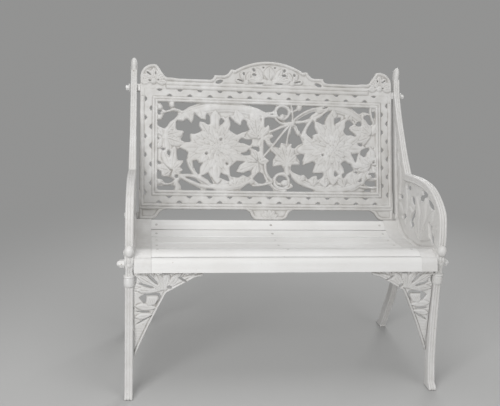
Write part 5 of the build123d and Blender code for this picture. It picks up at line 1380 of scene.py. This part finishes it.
# Lamps: place and size in metres, power in watts
LAMPS = {"key": ((-1.4, -2.2, 1.5), 1.4, 44), "fill": ((1.9, -2.2, 1.0), 1.8, 15),
         "top": ((0.0, -0.3, 3.2), 1.8, 26), "rear": ((1.3, 2.7, 1.9), 2.0, 36)}
LAMP_AIM = (0, 0, 0.5)
CAMERA_AT = (-448.0, FRONT - 1981.2, 1143.9)
CAMERA_YAW, CAMERA_PITCH, CAMERA_ROLL = -0.1538, 0.2483, -0.0476
CAMERA_LENS = 48.82
SENSOR = 36.0


def build_floor():
    """Wide pale floor that fades into the backdrop."""
    mesh = bpy.data.meshes.new("floor")
    corners = [(x * FLOOR_HALF, y * FLOOR_HALF, 0) for x, y in ((-1, -1), (1, -1), (1, 1), (-1, 1))]
    mesh.from_pydata(corners, [], [(0, 1, 2, 3)])
    floor = bpy.data.objects.new("floor", mesh)
    bpy.context.scene.collection.objects.link(floor)
    kit = NodeKit(bpy.data.materials.new("floor"))
    shader = kit.tree.nodes["Principled BSDF"]
    kit.feed(shader.inputs["Base Color"], FLOOR_TONE)
    kit.feed(shader.inputs["Roughness"], FLOOR_ROUGHNESS)
    length = kit.put("ShaderNodeVectorMath", operation="LENGTH")
    kit.feed(length.inputs[0], kit.put("ShaderNodeTexCoord").outputs["Object"])
    far = kit.ramp(length.outputs["Value"], FADE_FROM, FADE_TO, interpolation_type="SMOOTHSTEP")
    share = kit.combine("MULTIPLY", far, kit.put("ShaderNodeLightPath").outputs["Is Camera Ray"])
    glow = kit.put("ShaderNodeEmission")
    kit.feed(glow.inputs["Color"], BACKDROP)
    surface = kit.tree.nodes["Material Output"].inputs["Surface"]
    kit.feed(surface, kit.blend(share, shader.outputs[0], glow.outputs[0]))
    mesh.materials.append(kit.owner)


def build_world():
    """Even white light, and a grey backdrop for the camera and in reflections."""
    world = bpy.data.worlds.new("studio")
    bpy.context.scene.world = world
    kit = NodeKit(world)
    kit.tree.nodes.clear()
    light, seen = kit.put("ShaderNodeBackground"), kit.put("ShaderNodeBackground")
    kit.feed(light.inputs["Color"], (1, 1, 1, 1))
    kit.feed(light.inputs["Strength"], WORLD_LIGHT)
    kit.feed(seen.inputs["Color"], BACKDROP)
    path = kit.put("ShaderNodeLightPath")
    share = kit.combine("MAXIMUM", path.outputs["Is Camera Ray"], path.outputs["Is Glossy Ray"])
    output = kit.put("ShaderNodeOutputWorld")
    kit.feed(output.inputs["Surface"], kit.blend(share, light.outputs[0], seen.outputs[0]))


def build_lamps():
    """Square soft lamps, aimed at the middle of the seat."""
    for name, (place, size, power) in LAMPS.items():
        lamp = bpy.data.lights.new(name, "AREA")
        lamp.size = size
        lamp.energy = power
        light = bpy.data.objects.new(name, lamp)
        light.location = place
        aim = Vector(LAMP_AIM) - Vector(place)
        light.rotation_euler = aim.to_track_quat("-Z", "Y").to_euler()
        bpy.context.scene.collection.objects.link(light)


def build_camera():
    """Camera at the photograph's viewpoint."""
    turn = Matrix.Rotation(CAMERA_YAW, 3, "Z") @ Matrix.Rotation(-CAMERA_PITCH, 3, "X")
    turn = turn @ Matrix.Rotation(CAMERA_ROLL, 3, "Y")
    right, ahead, up = turn.col
    data = bpy.data.cameras.new("camera")
    data.lens = CAMERA_LENS
    data.sensor_width = SENSOR
    data.sensor_fit = "HORIZONTAL"
    camera = bpy.data.objects.new("camera", data)
    place = Matrix((right, up, -ahead)).transposed().to_4x4()
    place.translation = Vector(CAMERA_AT) * MM
    camera.matrix_world = place
    bpy.context.scene.collection.objects.link(camera)
    bpy.context.scene.camera = camera


build_floor()
build_world()
build_lamps()
build_camera()
bpy.context.scene.view_settings.view_transform = "Standard"
